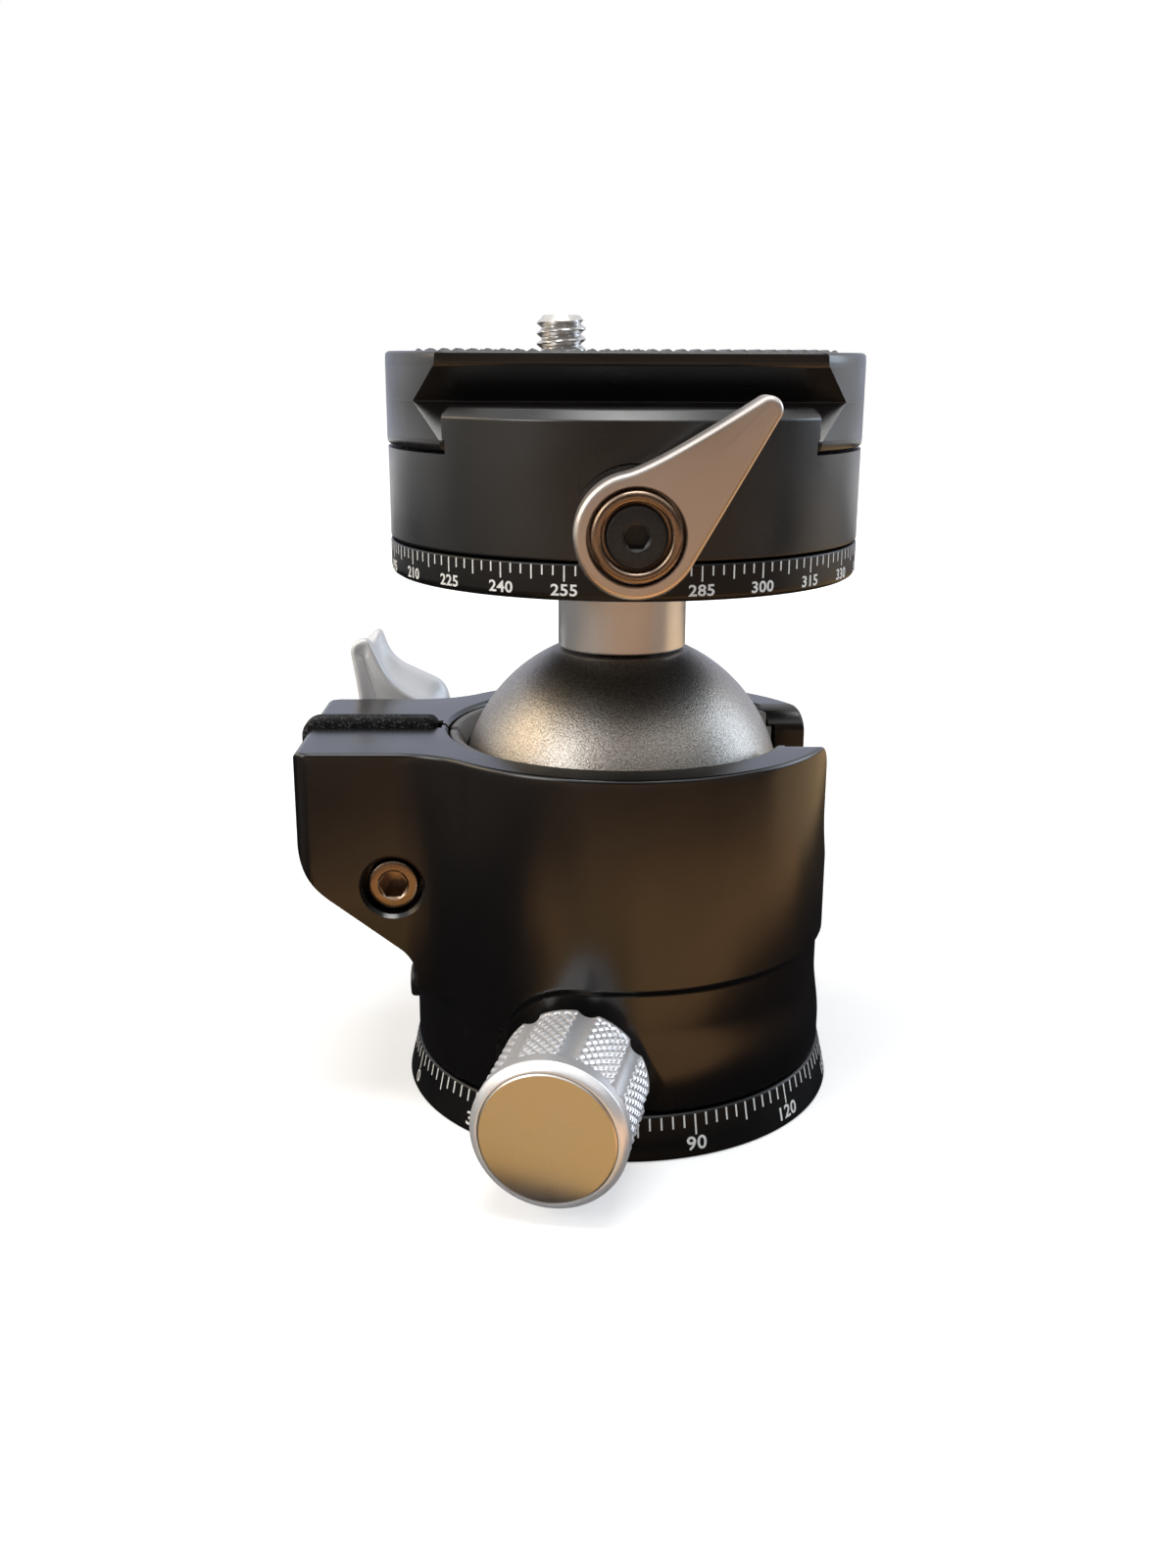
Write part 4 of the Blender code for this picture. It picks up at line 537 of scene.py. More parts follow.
def ear_underside():
    """What is milled away below the ears and round the foot: across the ears a line runs in from the
    knee down the slope to the hollow foot, and stops at the turned wall x = -sqrt(R^2 - y^2)."""
    line = eased([
        (0, -2, 0), (0, 17.2, 0), (-26.7, 17.2, 1.4), (-26.7, 21.6, 2.8), (ear_end, 33.0, 5.2),
        (ear_end, 39.0, 0), (-60, 39.0, 0), (-60, -2, 0),
    ], 14)
    reach = body_radius * math.sin(touch)
    across = np.concatenate([[-24.0], np.linspace(-reach, reach, 121), [24.0]])
    wall = -np.sqrt(body_radius**2 - np.clip(across, -reach, reach)**2)
    x = np.minimum(line[None, :, 0], wall[:, None])
    return bar(joined(x, across[:, None], line[:, 1]), [(-45, -24, 10), (-45, 24, 10)])


def aimed(form, azimuth, height, foot=(0.0, 0.0)):
    """Turns a form's own Z to an azimuth and its Y upwards, and sets it on an axis at that height."""
    points, faces = form
    out = np.array([math.cos(azimuth), math.sin(azimuth), 0])
    across = np.array([-math.sin(azimuth), math.cos(azimuth), 0])
    lifted = points[:, :1] * across + points[:, 1:2] * [0, 0, 1] + points[:, 2:] * out
    return lifted + [foot[0], foot[1], height], faces


def block(low, high):
    """A box between two corners."""
    (x0, y0, z0), (x1, y1, z1) = low, high
    return prism([(x0, y0), (x1, y0), (x1, y1), (x0, y1)], 2, z0, z1)


def drop_notch():
    """The stem's notch: a round-bottomed opening with round shoulders, which flares by a small ease
    where it meets the wall, x = sqrt((R + spread)^2 - y^2)."""
    half, heart, shoulder, ease = 9.0, 40.4, 3.5, 0.5
    nearest, inside, outside, middle = 20, 8, 36, 44
    curl = arc(shoulder, np.linspace(math.pi, math.pi / 2, 9))
    right = np.concatenate([[half + shoulder, rim_height - shoulder] + curl, [(16.0, rim_height + 6)]])
    low = [0, heart] + arc(half, np.linspace(math.pi, math.tau, 49))
    line = np.concatenate([(right * [-1, 1])[::-1], low, right])
    along = np.gradient(line, axis=0)
    normal = joined(along[:, 1], -along[:, 0])
    normal /= np.linalg.norm(normal, axis=1, keepdims=True)
    sections = []
    for t in np.linspace(0, 1, 6):
        spread, out = ease * t**2, ease * (1 - t) ** 2
        y, z = (line + normal * spread).T
        x = np.sqrt(np.maximum((body_radius - out) ** 2 - y**2, nearest**2))
        sections.append(joined(x, y, z))
    inner, outer = sections[0].copy(), sections[-1].copy()
    inner[:, 0], outer[:, 0] = inside, outside
    return bar(np.stack([inner, *sections, outer]), [(inside, 0, middle), (outside, 0, middle)])


ear_bend = 1.3


def over_ear(inner, lower, bend_steps=12, run_step=0.5):
    """The way of the seal and its channel: straight along the top of the ears from inner to the bend,
    a quarter circle, and straight down their end to lower. Gives each place (x, z) and its outward
    direction."""
    heart = np.array([ear_end + ear_bend, rim_height - ear_bend])
    x = np.arange(inner, heart[0], -run_step)
    z = np.arange(heart[1] - run_step, lower - 1e-6, -run_step)
    out = arc(1, np.linspace(math.pi / 2, math.pi, bend_steps))
    places = np.concatenate([
        joined(x, rim_height), heart + ear_bend * out, joined(ear_end, z),
    ])
    outs = np.concatenate([np.tile([0.0, 1.0], (len(x), 1)), out, np.tile([-1.0, 0.0], (len(z), 1))])
    return places, outs


def swept(lines, places, outs):
    """Closed lines of (y, height) set up at each place along its outward direction."""
    lines = np.broadcast_to(lines, (len(places), *np.shape(lines)[-2:]))
    flat = places[:, None] + outs[:, None] * lines[..., 1:]
    sections = joined(flat[..., 0], lines[..., 0], flat[..., 1])
    return bar(sections, [sections[0].mean(axis=0), sections[-1].mean(axis=0)])


channel_half, channel_depth, channel_flare = 1.8, 1.2, 0.3
channel_mouth = channel_half + channel_flare
channel = [
    (-channel_half, -channel_depth), (channel_half, -channel_depth), (channel_half, -channel_flare),
    (channel_mouth, 0.05), (channel_mouth, 12), (-channel_mouth, 12), (-channel_mouth, 0.05),
    (-channel_half, -channel_flare),
]
bend_heart = [ear_end + ear_bend, rim_height - ear_bend]
ear_corner = np.concatenate([
    [(-48, 40), (-48, 54), (-38, 54)],
    bend_heart + arc(ear_bend, np.linspace(math.pi / 2, math.pi, 14)) + [-0.02, 0.02],
])
void_line = eased([
    (0, 60, 0), (23.7, 60, 0), (23.7, rim_height + 0.1, 0), (23.2, 48.8, 0.2), (23.2, 46.95, 0),
    (24.0, 46.95, 0), (24.0, 31.0, 0), (20.6, 31.0, 0), (20.6, 18.6, 0), (16.5, 18.6, 0),
    (16.5, 16.0, 0), (14.3, 16.0, 0), (14.3, -2, 0), (0, -2, 0),
])
housing_cutters = [
    lathe(void_line, 240, closed=False),
    ear_underside(),
    prism(ear_corner, 1, -20, 20, (-47, 53)),
    block((-60, -0.5, 20.6), (-12, 0.5, 60)),
    aimed(plug([(1.4, 15), (1.4, 60)], 32), math.pi, 20.6),
    swept(channel, *over_ear(-24.0, 37.5)),
    drop_notch(),
    aimed(plug([(3.85, 10.3), (3.85, 15.2), (4.3, 15.75), (4.3, 30)], 72), front, *bolt_axis),
    aimed(plug([(8.8, -24), (8.8, -15.7), (2.8, -15.7), (2.8, 12)], 72), front, *bolt_axis),
    aimed(plug([(3.4, 13), (3.4, 27.2), (3.8, 27.6), (3.8, 40)], 60), *pan_axis),
    aimed(plug([(2.65, 20), (2.65, 27.6), (3.2, 28.2), (3.2, 40)], 40), *stop_axis),
]
housing = carved(body_block(), *housing_cutters)
piece("housing_body", housing, black_anodised, "housing", "black_anodised", "housing")


# Ball liner: two half shells of pale low-friction plastic that sit in the housing and grip the ball.
# Their lips show as a light ring in the mouth.
ball_heart, ball_radius = 40.4, 21.4
liner_bore, liner_foot, liner_shoulder, liner_lip = 21.7, 31.3, 46.7, 48.75
liner_plastic = finish("liner_plastic", (0.40, 0.395, 0.39), (0.30, 0.295, 0.29), 0.45, 0.0, 0.4, 0.5, 0.006)
liner_z = np.linspace(liner_foot, liner_shoulder, 22)
liner_line = np.concatenate([
    np.column_stack([np.sqrt(liner_bore**2 - (liner_z - ball_heart) ** 2), liner_z]),
    [(21.2, 47.4), (21.7, 48.3), (21.9, 48.6), (22.15, liner_lip), (22.8, liner_lip), (22.95, 48.6),
     (22.95, liner_shoulder), (23.7, liner_shoulder), (23.7, 31.6), (23.4, liner_foot)],
])
for side, name in ((-1, "ball_liner_front"), (1, "ball_liner_rear")):
    half = carved(
        lathe(liner_line, 192),
        block((-60, side * 0.9, 0), (0.5, -side * 60, 60)),
        block((0, side * 9.4, 0), (60, -side * 60, 60)),
    )
    piece(f"{name}_shell", half, liner_plastic, "housing", "acetal", name)


# Slot seal: a strip of black foamed rubber pressed into the channel over the slit. It runs along the
# top of the ears and down their end, and keeps dust out of the slit.
seal_rubber = finish("seal_rubber", (0.15, 0.155, 0.165), (0.003, 0.003, 0.003), 0.75, 0.0, 0.25, 0.38, 0.22,
                     4.0, 0.1, (0.52, 0.80))
seal_half, seal_depth, seal_proud, seal_end_proud = 1.6, 1.0, 1.15, 0.95
seal_taper, seal_least, seal_narrow, seal_swell = 0.9, 0.2, 0.8, 0.2
seal_places, seal_outs = over_ear(-24.7, 38.2)
seal_line = eased([
    (-seal_half, -seal_depth, 0.2), (seal_half, -seal_depth, 0.2), (seal_half, 1, 0.7), (-seal_half, 1, 0.7),
], 7)
proud = seal_proud + (seal_end_proud - seal_proud) * -seal_outs[:, 0]
way = np.concatenate([[0], np.cumsum(np.linalg.norm(np.diff(seal_places, axis=0), axis=1))])
to_end = (np.minimum(way, way[-1] - way) / seal_taper).clip(0, 1)
end_ease = np.sqrt(np.clip(1 - (1 - to_end) ** 2, seal_least, 1))
seal_lines = seal_line[None] * joined(seal_narrow + seal_swell * end_ease, 1)[:, None]
rise = np.where(seal_lines[..., 1] > 0, seal_lines[..., 1] * (proud * end_ease)[:, None], seal_lines[..., 1])
seal_lines = joined(seal_lines[..., 0], rise)
seal = swept(seal_lines, seal_places, seal_outs)
piece("slot_seal_strip", seal, seal_rubber, "housing", "rubber", "slot_seal", crease=60)


# Clamp bolt: a steel socket screw through both ears. Its head lies in the front ear's counterbore,
# and the wing lever behind the ears draws it tight. The stop screw low on the left is its small kin.
steel = finish("bright_steel", (0.74, 0.70, 0.66), (0.60, 0.56, 0.52), 0.26, 1.0, 0.5, 0.4, 0.002, 3.0, 0.06)
blued_steel = finish("black_steel", (0.050, 0.048, 0.046), (0.018, 0.018, 0.018), 0.34, 0.6, 0.5, 0.3, 0.004,
                     3.0)
# painted shade: the clamp bolt is stainless steel, and this darker bronze tone stands in for the shade of the
# counterbore round its head; the lever ring takes the same bronze tone
bronze_and_shade_steel = finish("bronze_and_shade_steel", (0.36, 0.27, 0.20), (0.22, 0.16, 0.12), 0.26, 1.0, 0.5, 0.4, 0.003,
                      2.0, 0.06)


def socket_head(face, radius, length, shank, end, hexagon, depth, sides=96):
    """A socket screw along its own Z: an eased head from its face down, a shank, and a hexagon sunk
    into the face with a small lead-in."""
    line = eased([
        (0, face, 0), (radius, face, 0.55), (radius, face - length, 0.1), (shank, face - length, 0),
        (shank, end, 0.3), (0, end, 0),
    ])
    key = plug([(hexagon, face + 5), (hexagon, face - depth)], 6)
    lead = plug([
        (hexagon + 0.15, face + 4), (hexagon + 0.15, face + 0.02), (hexagon - 0.15, face - 0.2),
    ], sides)
    return carved(lathe(line, sides, closed=False), key, lead)


bolt = socket_head(face=14.8, radius=3.3, length=4.2, shank=2.5, end=-26.7, hexagon=1.9, depth=3.8)
# the bolt's finish carries the counterbore's painted shade
piece("clamp_bolt_screw", aimed(bolt, front, *bolt_axis), bronze_and_shade_steel, "housing", "stainless", "clamp_bolt")
stop = socket_head(face=29.15, radius=2.4, length=1.2, shank=1.9, end=22.0, hexagon=1.1, depth=1.0, sides=60)
piece("stop_screw", aimed(stop, *stop_axis), blued_steel, "housing", "black_steel", "pan_stop_screw")
washer = lathe(eased([(2.8, -16.0, 0.15), (6.4, -16.0, 0.2), (6.4, -17.0, 0.2), (2.8, -17.0, 0.15)]), 96)
piece("wing_washer", aimed(washer, front, *bolt_axis), steel, "housing", "stainless", "wing_lever_washer")


# Wing lever: a cast and blasted silver lever behind the ears that locks the ball. A hub turns on the
# clamp bolt, and the blade above it has a hollow front and a groove between its front and rear lobes.
cast_silver = finish("cast_silver", (0.86, 0.86, 0.87), (0.74, 0.74, 0.75), 0.46, 0.25, 0.5, 0.20, 0.010)
wing_spine = np.array([(-36.9, 54.0), (-29.6, 33.0)])
wing_lobes = [
    # the front and the rear lobe as corners (x, z, ease) from the hub's left over the top to its right
    [(-37.0, 24.4, 6.6), (-37.6, 46.0, 6.0), (-39.25, 56.6, 1.95), (-36.35, 57.35, 1.0), (-33.1, 50.3, 3.0),
     (-25.2, 46.0, 3.5), (-22.2, 34.0, 5.0), (-22.2, 24.4, 6.6)],
    [(-37.0, 24.4, 6.6), (-37.0, 46.0, 5.0), (-38.6, 55.0, 1.5), (-35.3, 57.85, 1.4), (-33.6, 52.9, 2.6),
     (-25.7, 49.2, 1.7), (-22.4, 36.0, 5.0), (-22.2, 24.4, 6.6)],
]
wing_stations = np.array([
    # depth behind the ears' middle, share of the rear lobe, how far the outline is drawn in
    (20.95, 0.00, 4.50), (20.92, 0.00, 2.80), (20.75, 0.00, 1.90), (20.48, 0.00, 1.20), (20.32, 0.00, 0.70),
    (20.42, 0.00, 0.30), (20.80, 0.00, 0.06), (21.40, 0.00, 0.00), (22.20, 0.05, 0.15), (23.30, 0.22, 0.60),
    (24.50, 0.48, 0.85), (25.70, 0.75, 0.70), (26.80, 0.96, 0.25), (27.80, 1.00, 0.02), (28.60, 1.00, 0.00),
    (29.20, 1.00, 0.20), (29.58, 1.00, 0.55), (29.76, 1.00, 0.85), (29.80, 1.00, 1.05),
])


def evenly(line, count):
    """A closed line shared out into points at equal distances along it."""
    ring = np.concatenate([line, line[:1]])
    way = np.concatenate([[0], np.cumsum(np.linalg.norm(np.diff(ring, axis=0), axis=1))])
    at = np.linspace(0, way[-1], count, endpoint=False)
    return np.stack([np.interp(at, way, ring[:, k]) for k in (0, 1)], -1)


def wing_blade():
    """Outlines through the depth, smoothly between the stations. Each is a mixture of both lobes, drawn
    in towards the foot of each point on the spine: p + (foot - p) min(inset / |foot - p|, 0.85)."""
    station = np.linspace(0, len(wing_stations) - 1, 73)
    places = np.arange(len(wing_stations))
    depth, share, inset = (smooth_between(station, places, column) for column in wing_stations.T)
    front_lobe, rear_lobe = (evenly(eased(lobe, 12), 220) for lobe in wing_lobes)
    outline = front_lobe + (rear_lobe - front_lobe) * share[:, None, None]
    run = wing_spine[1] - wing_spine[0]
    along = np.clip((outline - wing_spine[0]) @ run / (run @ run), 0, 1)
    to_foot = wing_spine[0] + along[..., None] * run - outline
    gap = np.linalg.norm(to_foot, axis=-1)
    outline = outline + to_foot * np.minimum(np.maximum(inset, 0)[:, None] / gap, 0.85)[..., None]
    rows = joined(outline[..., 0], depth[:, None], outline[..., 1])
    return bar(rows, [(-33.2, rows[0, 0, 1], 43.5), (-35.0, rows[-1, 0, 1], 46.3)])


def smooth_between(at, places, values):
    """Values between the places on a cubic Hermite line whose slope at a place is that of its chord."""
    slope = np.gradient(values, places)
    k = np.clip(np.searchsorted(places, at, side="right") - 1, 0, len(places) - 2)
    gap = places[k + 1] - places[k]
    t = (at - places[k]) / gap
    return (
        values[k] * (2 * t**3 - 3 * t**2 + 1) + values[k + 1] * (3 * t**2 - 2 * t**3)
        + slope[k] * gap * (t**3 - 2 * t**2 + t) + slope[k + 1] * gap * (t**3 - t**2)
    )


wing_hub = lathe(eased([(0, 17.3, 0), (7.0, 17.3, 0.5), (7.0, 27.9, 0.9), (0, 27.9, 0)]), 120, closed=False)
wing = carved(aimed(wing_hub, rear, *bolt_axis), wing_blade(), way="UNION")
wing = carved(wing, aimed(plug([(4.5, 10), (4.5, 27.0)], 72), rear, *bolt_axis))
piece("wing", wing, cast_silver, "wing_lever", "silver", "wing_lever", crease=50)


# Pan knob: a knurled and fluted aluminium knob low on the front that locks the panning base. Diamond
# knurling is rolled between its milled flutes, and a flat cap with a fine rim closes its face.
blasted_silver = finish("blasted_silver", (0.90, 0.90, 0.92), (0.78, 0.78, 0.80), 0.35, 0.62, 0.5, 0.20, 0.008)
cap_silver = finish("cap_silver", (0.74, 0.71, 0.67), (0.66, 0.63, 0.60), 0.38, 1.0, 0.5, 0.30, 0.008,
                    5.0, 0.05)
flute_radius, flute_depth, flute_count, flute_first, flute_past = 1.7, 0.62, 8, math.radians(34), 0.5
knurl_pitch, knurl_slant, knurl_depth, knurl_flank, knob_bevel = 1.28, 1.4, 0.26, 1.7, 1.0


def triangle_wave(phase):
    """0 at whole numbers and 1 halfway between them."""
    return 1 - np.abs(2 * (phase % 1) - 1)


def knob(radius, back, grip_end, front, cap_pocket, bore, bore_end, sides=640):
    """A knob along its own Z. Its grip's radius at (angle, height) is the lower of the knurl and the
    flutes: r - depth (1 - min(tri(u), tri(v))) with u and v along both diagonals, and
    r + rf - depth - sqrt(rf^2 - d^2) within the flute's radius of the flute's line or its round end."""
    turns = round(math.tau * radius / knurl_pitch)
    angle = np.linspace(0, math.tau, sides, endpoint=False)
    a, h = np.meshgrid(angle, np.linspace(front - knob_bevel - 0.1, back + 0.35, 100))
    around, upward = a * turns / math.tau, h / (knurl_slant * knurl_pitch)
    rolled = np.minimum(triangle_wave(around + upward), triangle_wave(around - upward))
    rolled = np.clip(knurl_flank * rolled, 0, 1)
    band = np.clip((grip_end - h) / 0.3, 0, 1) * np.clip((h - back - 0.7) / 0.3, 0, 1)
    knurled = radius - knurl_depth * (1 - rolled) * band
    step = math.tau / flute_count
    nearest = (a - flute_first + step / 2) % step - step / 2
    past = np.maximum(h - (grip_end + flute_past - flute_radius), 0)
    miss = np.minimum((radius * nearest) ** 2 + past**2, flute_radius**2)
    grip = np.minimum(knurled, radius + flute_radius - flute_depth - np.sqrt(flute_radius**2 - miss))
    rows = joined(grip * np.cos(a), grip * np.sin(a), h)

    def rings(line):
        """Rows of the turned faces before and behind the grip."""
        out, up = np.asarray(line)[:, :1], np.asarray(line)[:, 1:]
        return joined(out * np.cos(angle), out * np.sin(angle), up)

    face = rings([
        (cap_pocket, front - 1.3), (cap_pocket, front - 0.1), (cap_pocket + 0.06, front),
        (radius - knob_bevel, front), (radius - knob_bevel + 0.2, front - 0.06), (radius - 0.3, front - 0.6),
        (radius - 0.1, front - knob_bevel + 0.1), (radius, front - knob_bevel - 0.02),
    ])
    back_ease = ((1 - 0.08 / radius, 0.2), (1 - 0.35 / radius, 0.35))
    behind = np.stack([rows[-1] * [share, share, 1] - [0, 0, fall] for share, fall in back_ease])
    tail = rings([(bore + 0.6, back), (bore + 0.3, back), (bore + 0.3, bore_end)])
    return skin(np.concatenate([face, rows, behind, tail, rings([(0, bore_end), (0, front - 1.3)])]), loop=True)


def knob_cap(radius, front):
    """The flat disc that closes the knob, with a fine bright chamfer."""
    return plug([(radius - 0.2, front), (radius, front - 0.15), (radius, front - 1.25)], 160)


pan_grip = knob(radius=9.4, back=29.7, grip_end=42.1, front=44.75, cap_pocket=8.25, bore=3.0, bore_end=38.3)
piece("pan_knob_grip", aimed(pan_grip, *pan_axis), blasted_silver, "pan_knob", "silver", "pan_knob", crease=40)
pan_disc = aimed(knob_cap(8.2, 44.88), *pan_axis)
piece("pan_knob_disc", pan_disc, cap_silver, "pan_knob", "silver", "pan_knob_cap")


# Ball and stem: a steel-hard anodised ball, blasted to a fine satin black, with a bright turned sleeve
# that a long bolt holds on its flat.
ball_black = finish(
    "ball_black", (0.46, 0.43, 0.39), (0.23, 0.21, 0.19), 0.37, 1.0, 0.5, 0.22, 0.050, 12.0, 0.03, (0.34, 0.66)
)
flat_height = 59.91
crown = math.acos((flat_height - ball_heart) / ball_radius)
polar = np.linspace(crown, math.pi, 120)[1:-1]
ball_line = np.concatenate([
    [(0, flat_height), (ball_radius * math.sin(crown) - 0.25, flat_height)],
    np.column_stack([ball_radius * np.sin(polar), ball_heart + ball_radius * np.cos(polar)]),
    [(0, ball_heart - ball_radius)],
])
ball = carved(lathe(ball_line, 256, closed=False), plug([(4.6, 43.6), (4.6, 70)], 64))
piece("ball_body", ball, ball_black, "ball", "ball_black", "ball")
stem_silver = finish("stem_silver", (0.86, 0.84, 0.82), (0.74, 0.72, 0.70), 0.33, 0.9, 0.5, 0.16, 0.008,
                     14.0, 0.03)
stem_line = eased([(8.4, 70.6, 0.1), (8.4, 60.25, 0.35), (4.7, 60.25, 0), (4.7, 70.6, 0)])
piece("stem", lathe(stem_line, 192), stem_silver, "ball", "silver", "stem_sleeve")


# Upper ring: the fixed half of the second pan, turned from black aluminium, with its degree scale
# hanging from the upper edge.
ring_radius, ring_low, ring_high, ring_floor = 29.9, 70.45, 74.7, 73.7
ring_line = eased([
    (ring_radius, ring_high, 0.25), (ring_radius, ring_low, 1.0), (4.4, ring_low, 0), (4.4, ring_floor, 0),
    (20.3, ring_floor, 0), (20.3, ring_high, 0.1),
])
piece("upper_ring", lathe(ring_line, 360), scale_black, "ball", "black_anodised", "top_scale_ring")


def ring_side(height):
    """The upper ring's side is upright."""
    return np.full(len(height), ring_radius)


ring_marks = degree_scale(
    step=2.5, periods=(15, 7.5), lengths=(1.75, 1.6, 1.1), zero=0, top=ring_high - 0.2,
    half_width=0.09, middle=ring_low + 1.25, height=1.33, radius_at=ring_side,
)
piece("upper_scale", ring_marks, white_paint, "ball", "black_anodised")


# Clamp: a turned disc with the fixed front jaw in one piece, and a loose rear jaw that slides on two
# pins. A dovetail channel between them grips the plate.
jaw_top, jaw_foot, jaw_reach = 91.4, 75.0, 34
jaw_line = eased([
    (0, jaw_top, 0), (ring_radius - 1.15, jaw_top, 0.2), (ring_radius, 90.25, 0.2),
    (ring_radius, jaw_foot, 0.3), (0, jaw_foot, 0),
])
jaw_black = finish("jaw_black", (0.008, 0.008, 0.008), (0.0035, 0.0035, 0.0035), 0.31, 0.0, 0.70, relief=0)
channel_side = [(20.92, 86.1), (20.92, 87.55), (17.47, jaw_top), (17.2, 92.2), (17.2, 96)]
channel_line = channel_side + [(-y, z) for y, z in reversed(channel_side)]
lever_axis, jaw_axis, pin_height, pin_places = (front, 78.4), (rear, 80.4), 79.8, (-19, 19)


def jaw_ends(side):
    """What is cut off outside the jaws, with the jaws' upper corner left round."""
    curl = np.linspace(0, math.pi / 2, 8)
    near, far, low, high, corner = 20.5, jaw_reach, 86.1, 96, 1.2
    x = np.concatenate([[near + corner, far, far, near], near + corner * np.sin(curl)])
    z = np.concatenate([[low, low, high, high], 90.2 + corner * np.cos(curl)])
    return prism(joined(side * x, z), 1, -jaw_reach, jaw_reach, (side * 28, 92))


def pin_holes(low, high):
    """The holes of both guide pins."""
    hole = plug([(1.8, low), (1.8, high)], 36)
    return [aimed(hole, rear, pin_height, (x, 0)) for x in pin_places]


jaw_cutters = [prism(channel_line, 0, -jaw_reach, jaw_reach, (0, 89)), jaw_ends(-1), jaw_ends(1)]
clamp_cutters = [
    *jaw_cutters,
    block((-40, 16.5, 60), (40, 40, 100)),
    plug([(14.6, 100), (14.6, 82.6), (12.0, 82.6), (12.0, 60)], 120),
    aimed(plug([(7.2, 29.3), (7.5, 30.2), (7.5, 40)], 72), *lever_axis),
    aimed(plug([(3.0, 20), (3.0, 35)], 48), *lever_axis),
    *pin_holes(7.7, 40),
    aimed(plug([(2.7, 13.0), (2.7, 40)], 48), *jaw_axis),
]
clamp = carved(lathe(jaw_line, 360, closed=False), *clamp_cutters)
piece("clamp_body", clamp, jaw_black, "clamp", "black_anodised", "clamp_base")
rear_cutters = [
    *jaw_cutters,
    block((-40, -40, 60), (40, 16.8, 100)),
    *pin_holes(0, 20.3),
    aimed(plug([(2.7, 0), (2.7, 40)], 48), *jaw_axis),
    aimed(plug([(6.4, 28.9), (6.7, 29.8), (6.7, 40)], 72), *jaw_axis),
]
rear_jaw = carved(lathe(jaw_line, 360, closed=False), *rear_cutters)
piece("jaw_body", rear_jaw, jaw_black, "jaw", "black_anodised", "rear_jaw")


# Top lever: a small bright lever on the front of the clamp that locks the upper pan. A steel ring and
# a black socket screw hold its hub on a steel bush.
lever_silver = finish("lever_silver", (0.70, 0.64, 0.60), (0.62, 0.57, 0.53), 0.36, 1.0, 0.5, 0.2, 0.005,
                      10.0, 0.04)
hub_radius, tip_radius, lever_arm, lever_front, lever_back = 6.8, 1.45, 19.1, 35.8, 31.0
lever_tilt, lever_hollow, lever_bend = math.radians(44), math.radians(16), 3.0


def lever_outline(inset):
    """The lever seen from the front, drawn in by inset: the hub's arc, a straight lower edge to the
    round tip, and an upper edge (1-t)^2 tip + 2t(1-t) bend + t^2 hub that runs hollow into the hub."""
    open_angle = math.acos((hub_radius - tip_radius) / lever_arm)
    hub_turn = np.linspace(lever_tilt + open_angle - lever_hollow, lever_tilt + math.tau - open_angle, 90)
    tip_turn = np.linspace(lever_tilt - open_angle, lever_tilt + open_angle, 24)
    hub = arc(hub_radius - inset, hub_turn)
    nose = arc(lever_arm, lever_tilt) + arc(tip_radius - inset, tip_turn)
    lower = np.linspace(hub[-1], nose[0], 20)[1:-1]
    bend = hub[0] + lever_bend * np.array([math.sin(hub_turn[0]), -math.cos(hub_turn[0])])
    t = np.linspace(0, 1, 20)[1:-1, None]
    upper = nose[-1] * (1 - t) ** 2 + bend * 2 * t * (1 - t) + hub[0] * t**2
    return np.concatenate([hub, lower, nose, upper])


steps, front_ease, back_ease = np.linspace(0, 1, 5), 0.7, 0.5
lever_rows = [raised(lever_outline(front_ease * (1 - t) ** 2), lever_front - front_ease * t**2) for t in steps]
lever_rows += [raised(lever_outline(back_ease * t**2), lever_back + back_ease * (1 - t) ** 2) for t in steps]
lever = bar(np.stack(lever_rows), [(4.0, 4.0, lever_front), (4.0, 4.0, lever_back)])
lever_bores = [
    plug([(5.3, 31.3), (5.3, 35.6), (5.5, 35.85), (5.5, 40)], 120),
    plug([(3.0, 20), (3.0, 40)], 60),
]
lever = aimed(carved(lever, *lever_bores), *lever_axis)
piece("lever", lever, lever_silver, "top_lever", "silver", "top_lever")
bezel = lathe(eased([
    (3.75, 36.1, 0.5), (5.0, 36.1, 0.6), (5.0, 31.6, 0.1), (3.0, 31.6, 0), (3.0, 34.0, 0), (3.75, 34.0, 0),
], 7), 120)
piece("lever_ring", aimed(bezel, *lever_axis), bronze_and_shade_steel, "top_lever", "stainless", "top_lever_ring")
lever_screw = socket_head(face=35.48, radius=3.45, length=1.3, shank=2.7, end=17.0, hexagon=1.45, depth=1.8,
                          sides=72)
lever_screw = aimed(lever_screw, *lever_axis)
piece("lever_screw", lever_screw, blued_steel, "top_lever", "black_steel", "top_lever_screw")


# Jaw knob: the clamp's own knob at the back, the pan knob's smaller twin. It draws the rear jaw up
# along a steel stud.
jaw_grip = knob(radius=8.6, back=30.3, grip_end=43.0, front=45.4, cap_pocket=7.45, bore=2.4, bore_end=42.3)
piece("jaw_knob_grip", aimed(jaw_grip, *jaw_axis), blasted_silver, "jaw_knob", "silver", "jaw_knob", crease=40)
jaw_disc = aimed(knob_cap(7.4, 45.55), *jaw_axis)
piece("jaw_knob_disc", jaw_disc, cap_silver, "jaw_knob", "silver", "jaw_knob_cap")


# Plate: the round quick-release plate, with dovetail flanks below and a slot for the camera screw.
# Two toothed rubber pads are set into its top.
plate_radius, plate_low, plate_high, plate_ease = 30.0, 86.4, 97.5, 0.6
pad_inner, pad_outer, pad_radius = 5.2, 17.4, 27.0
plate_black = finish("plate_black", (0.009, 0.008, 0.0075), (0.004, 0.0035, 0.0035), 0.30, 0.0, 0.65, relief=0)


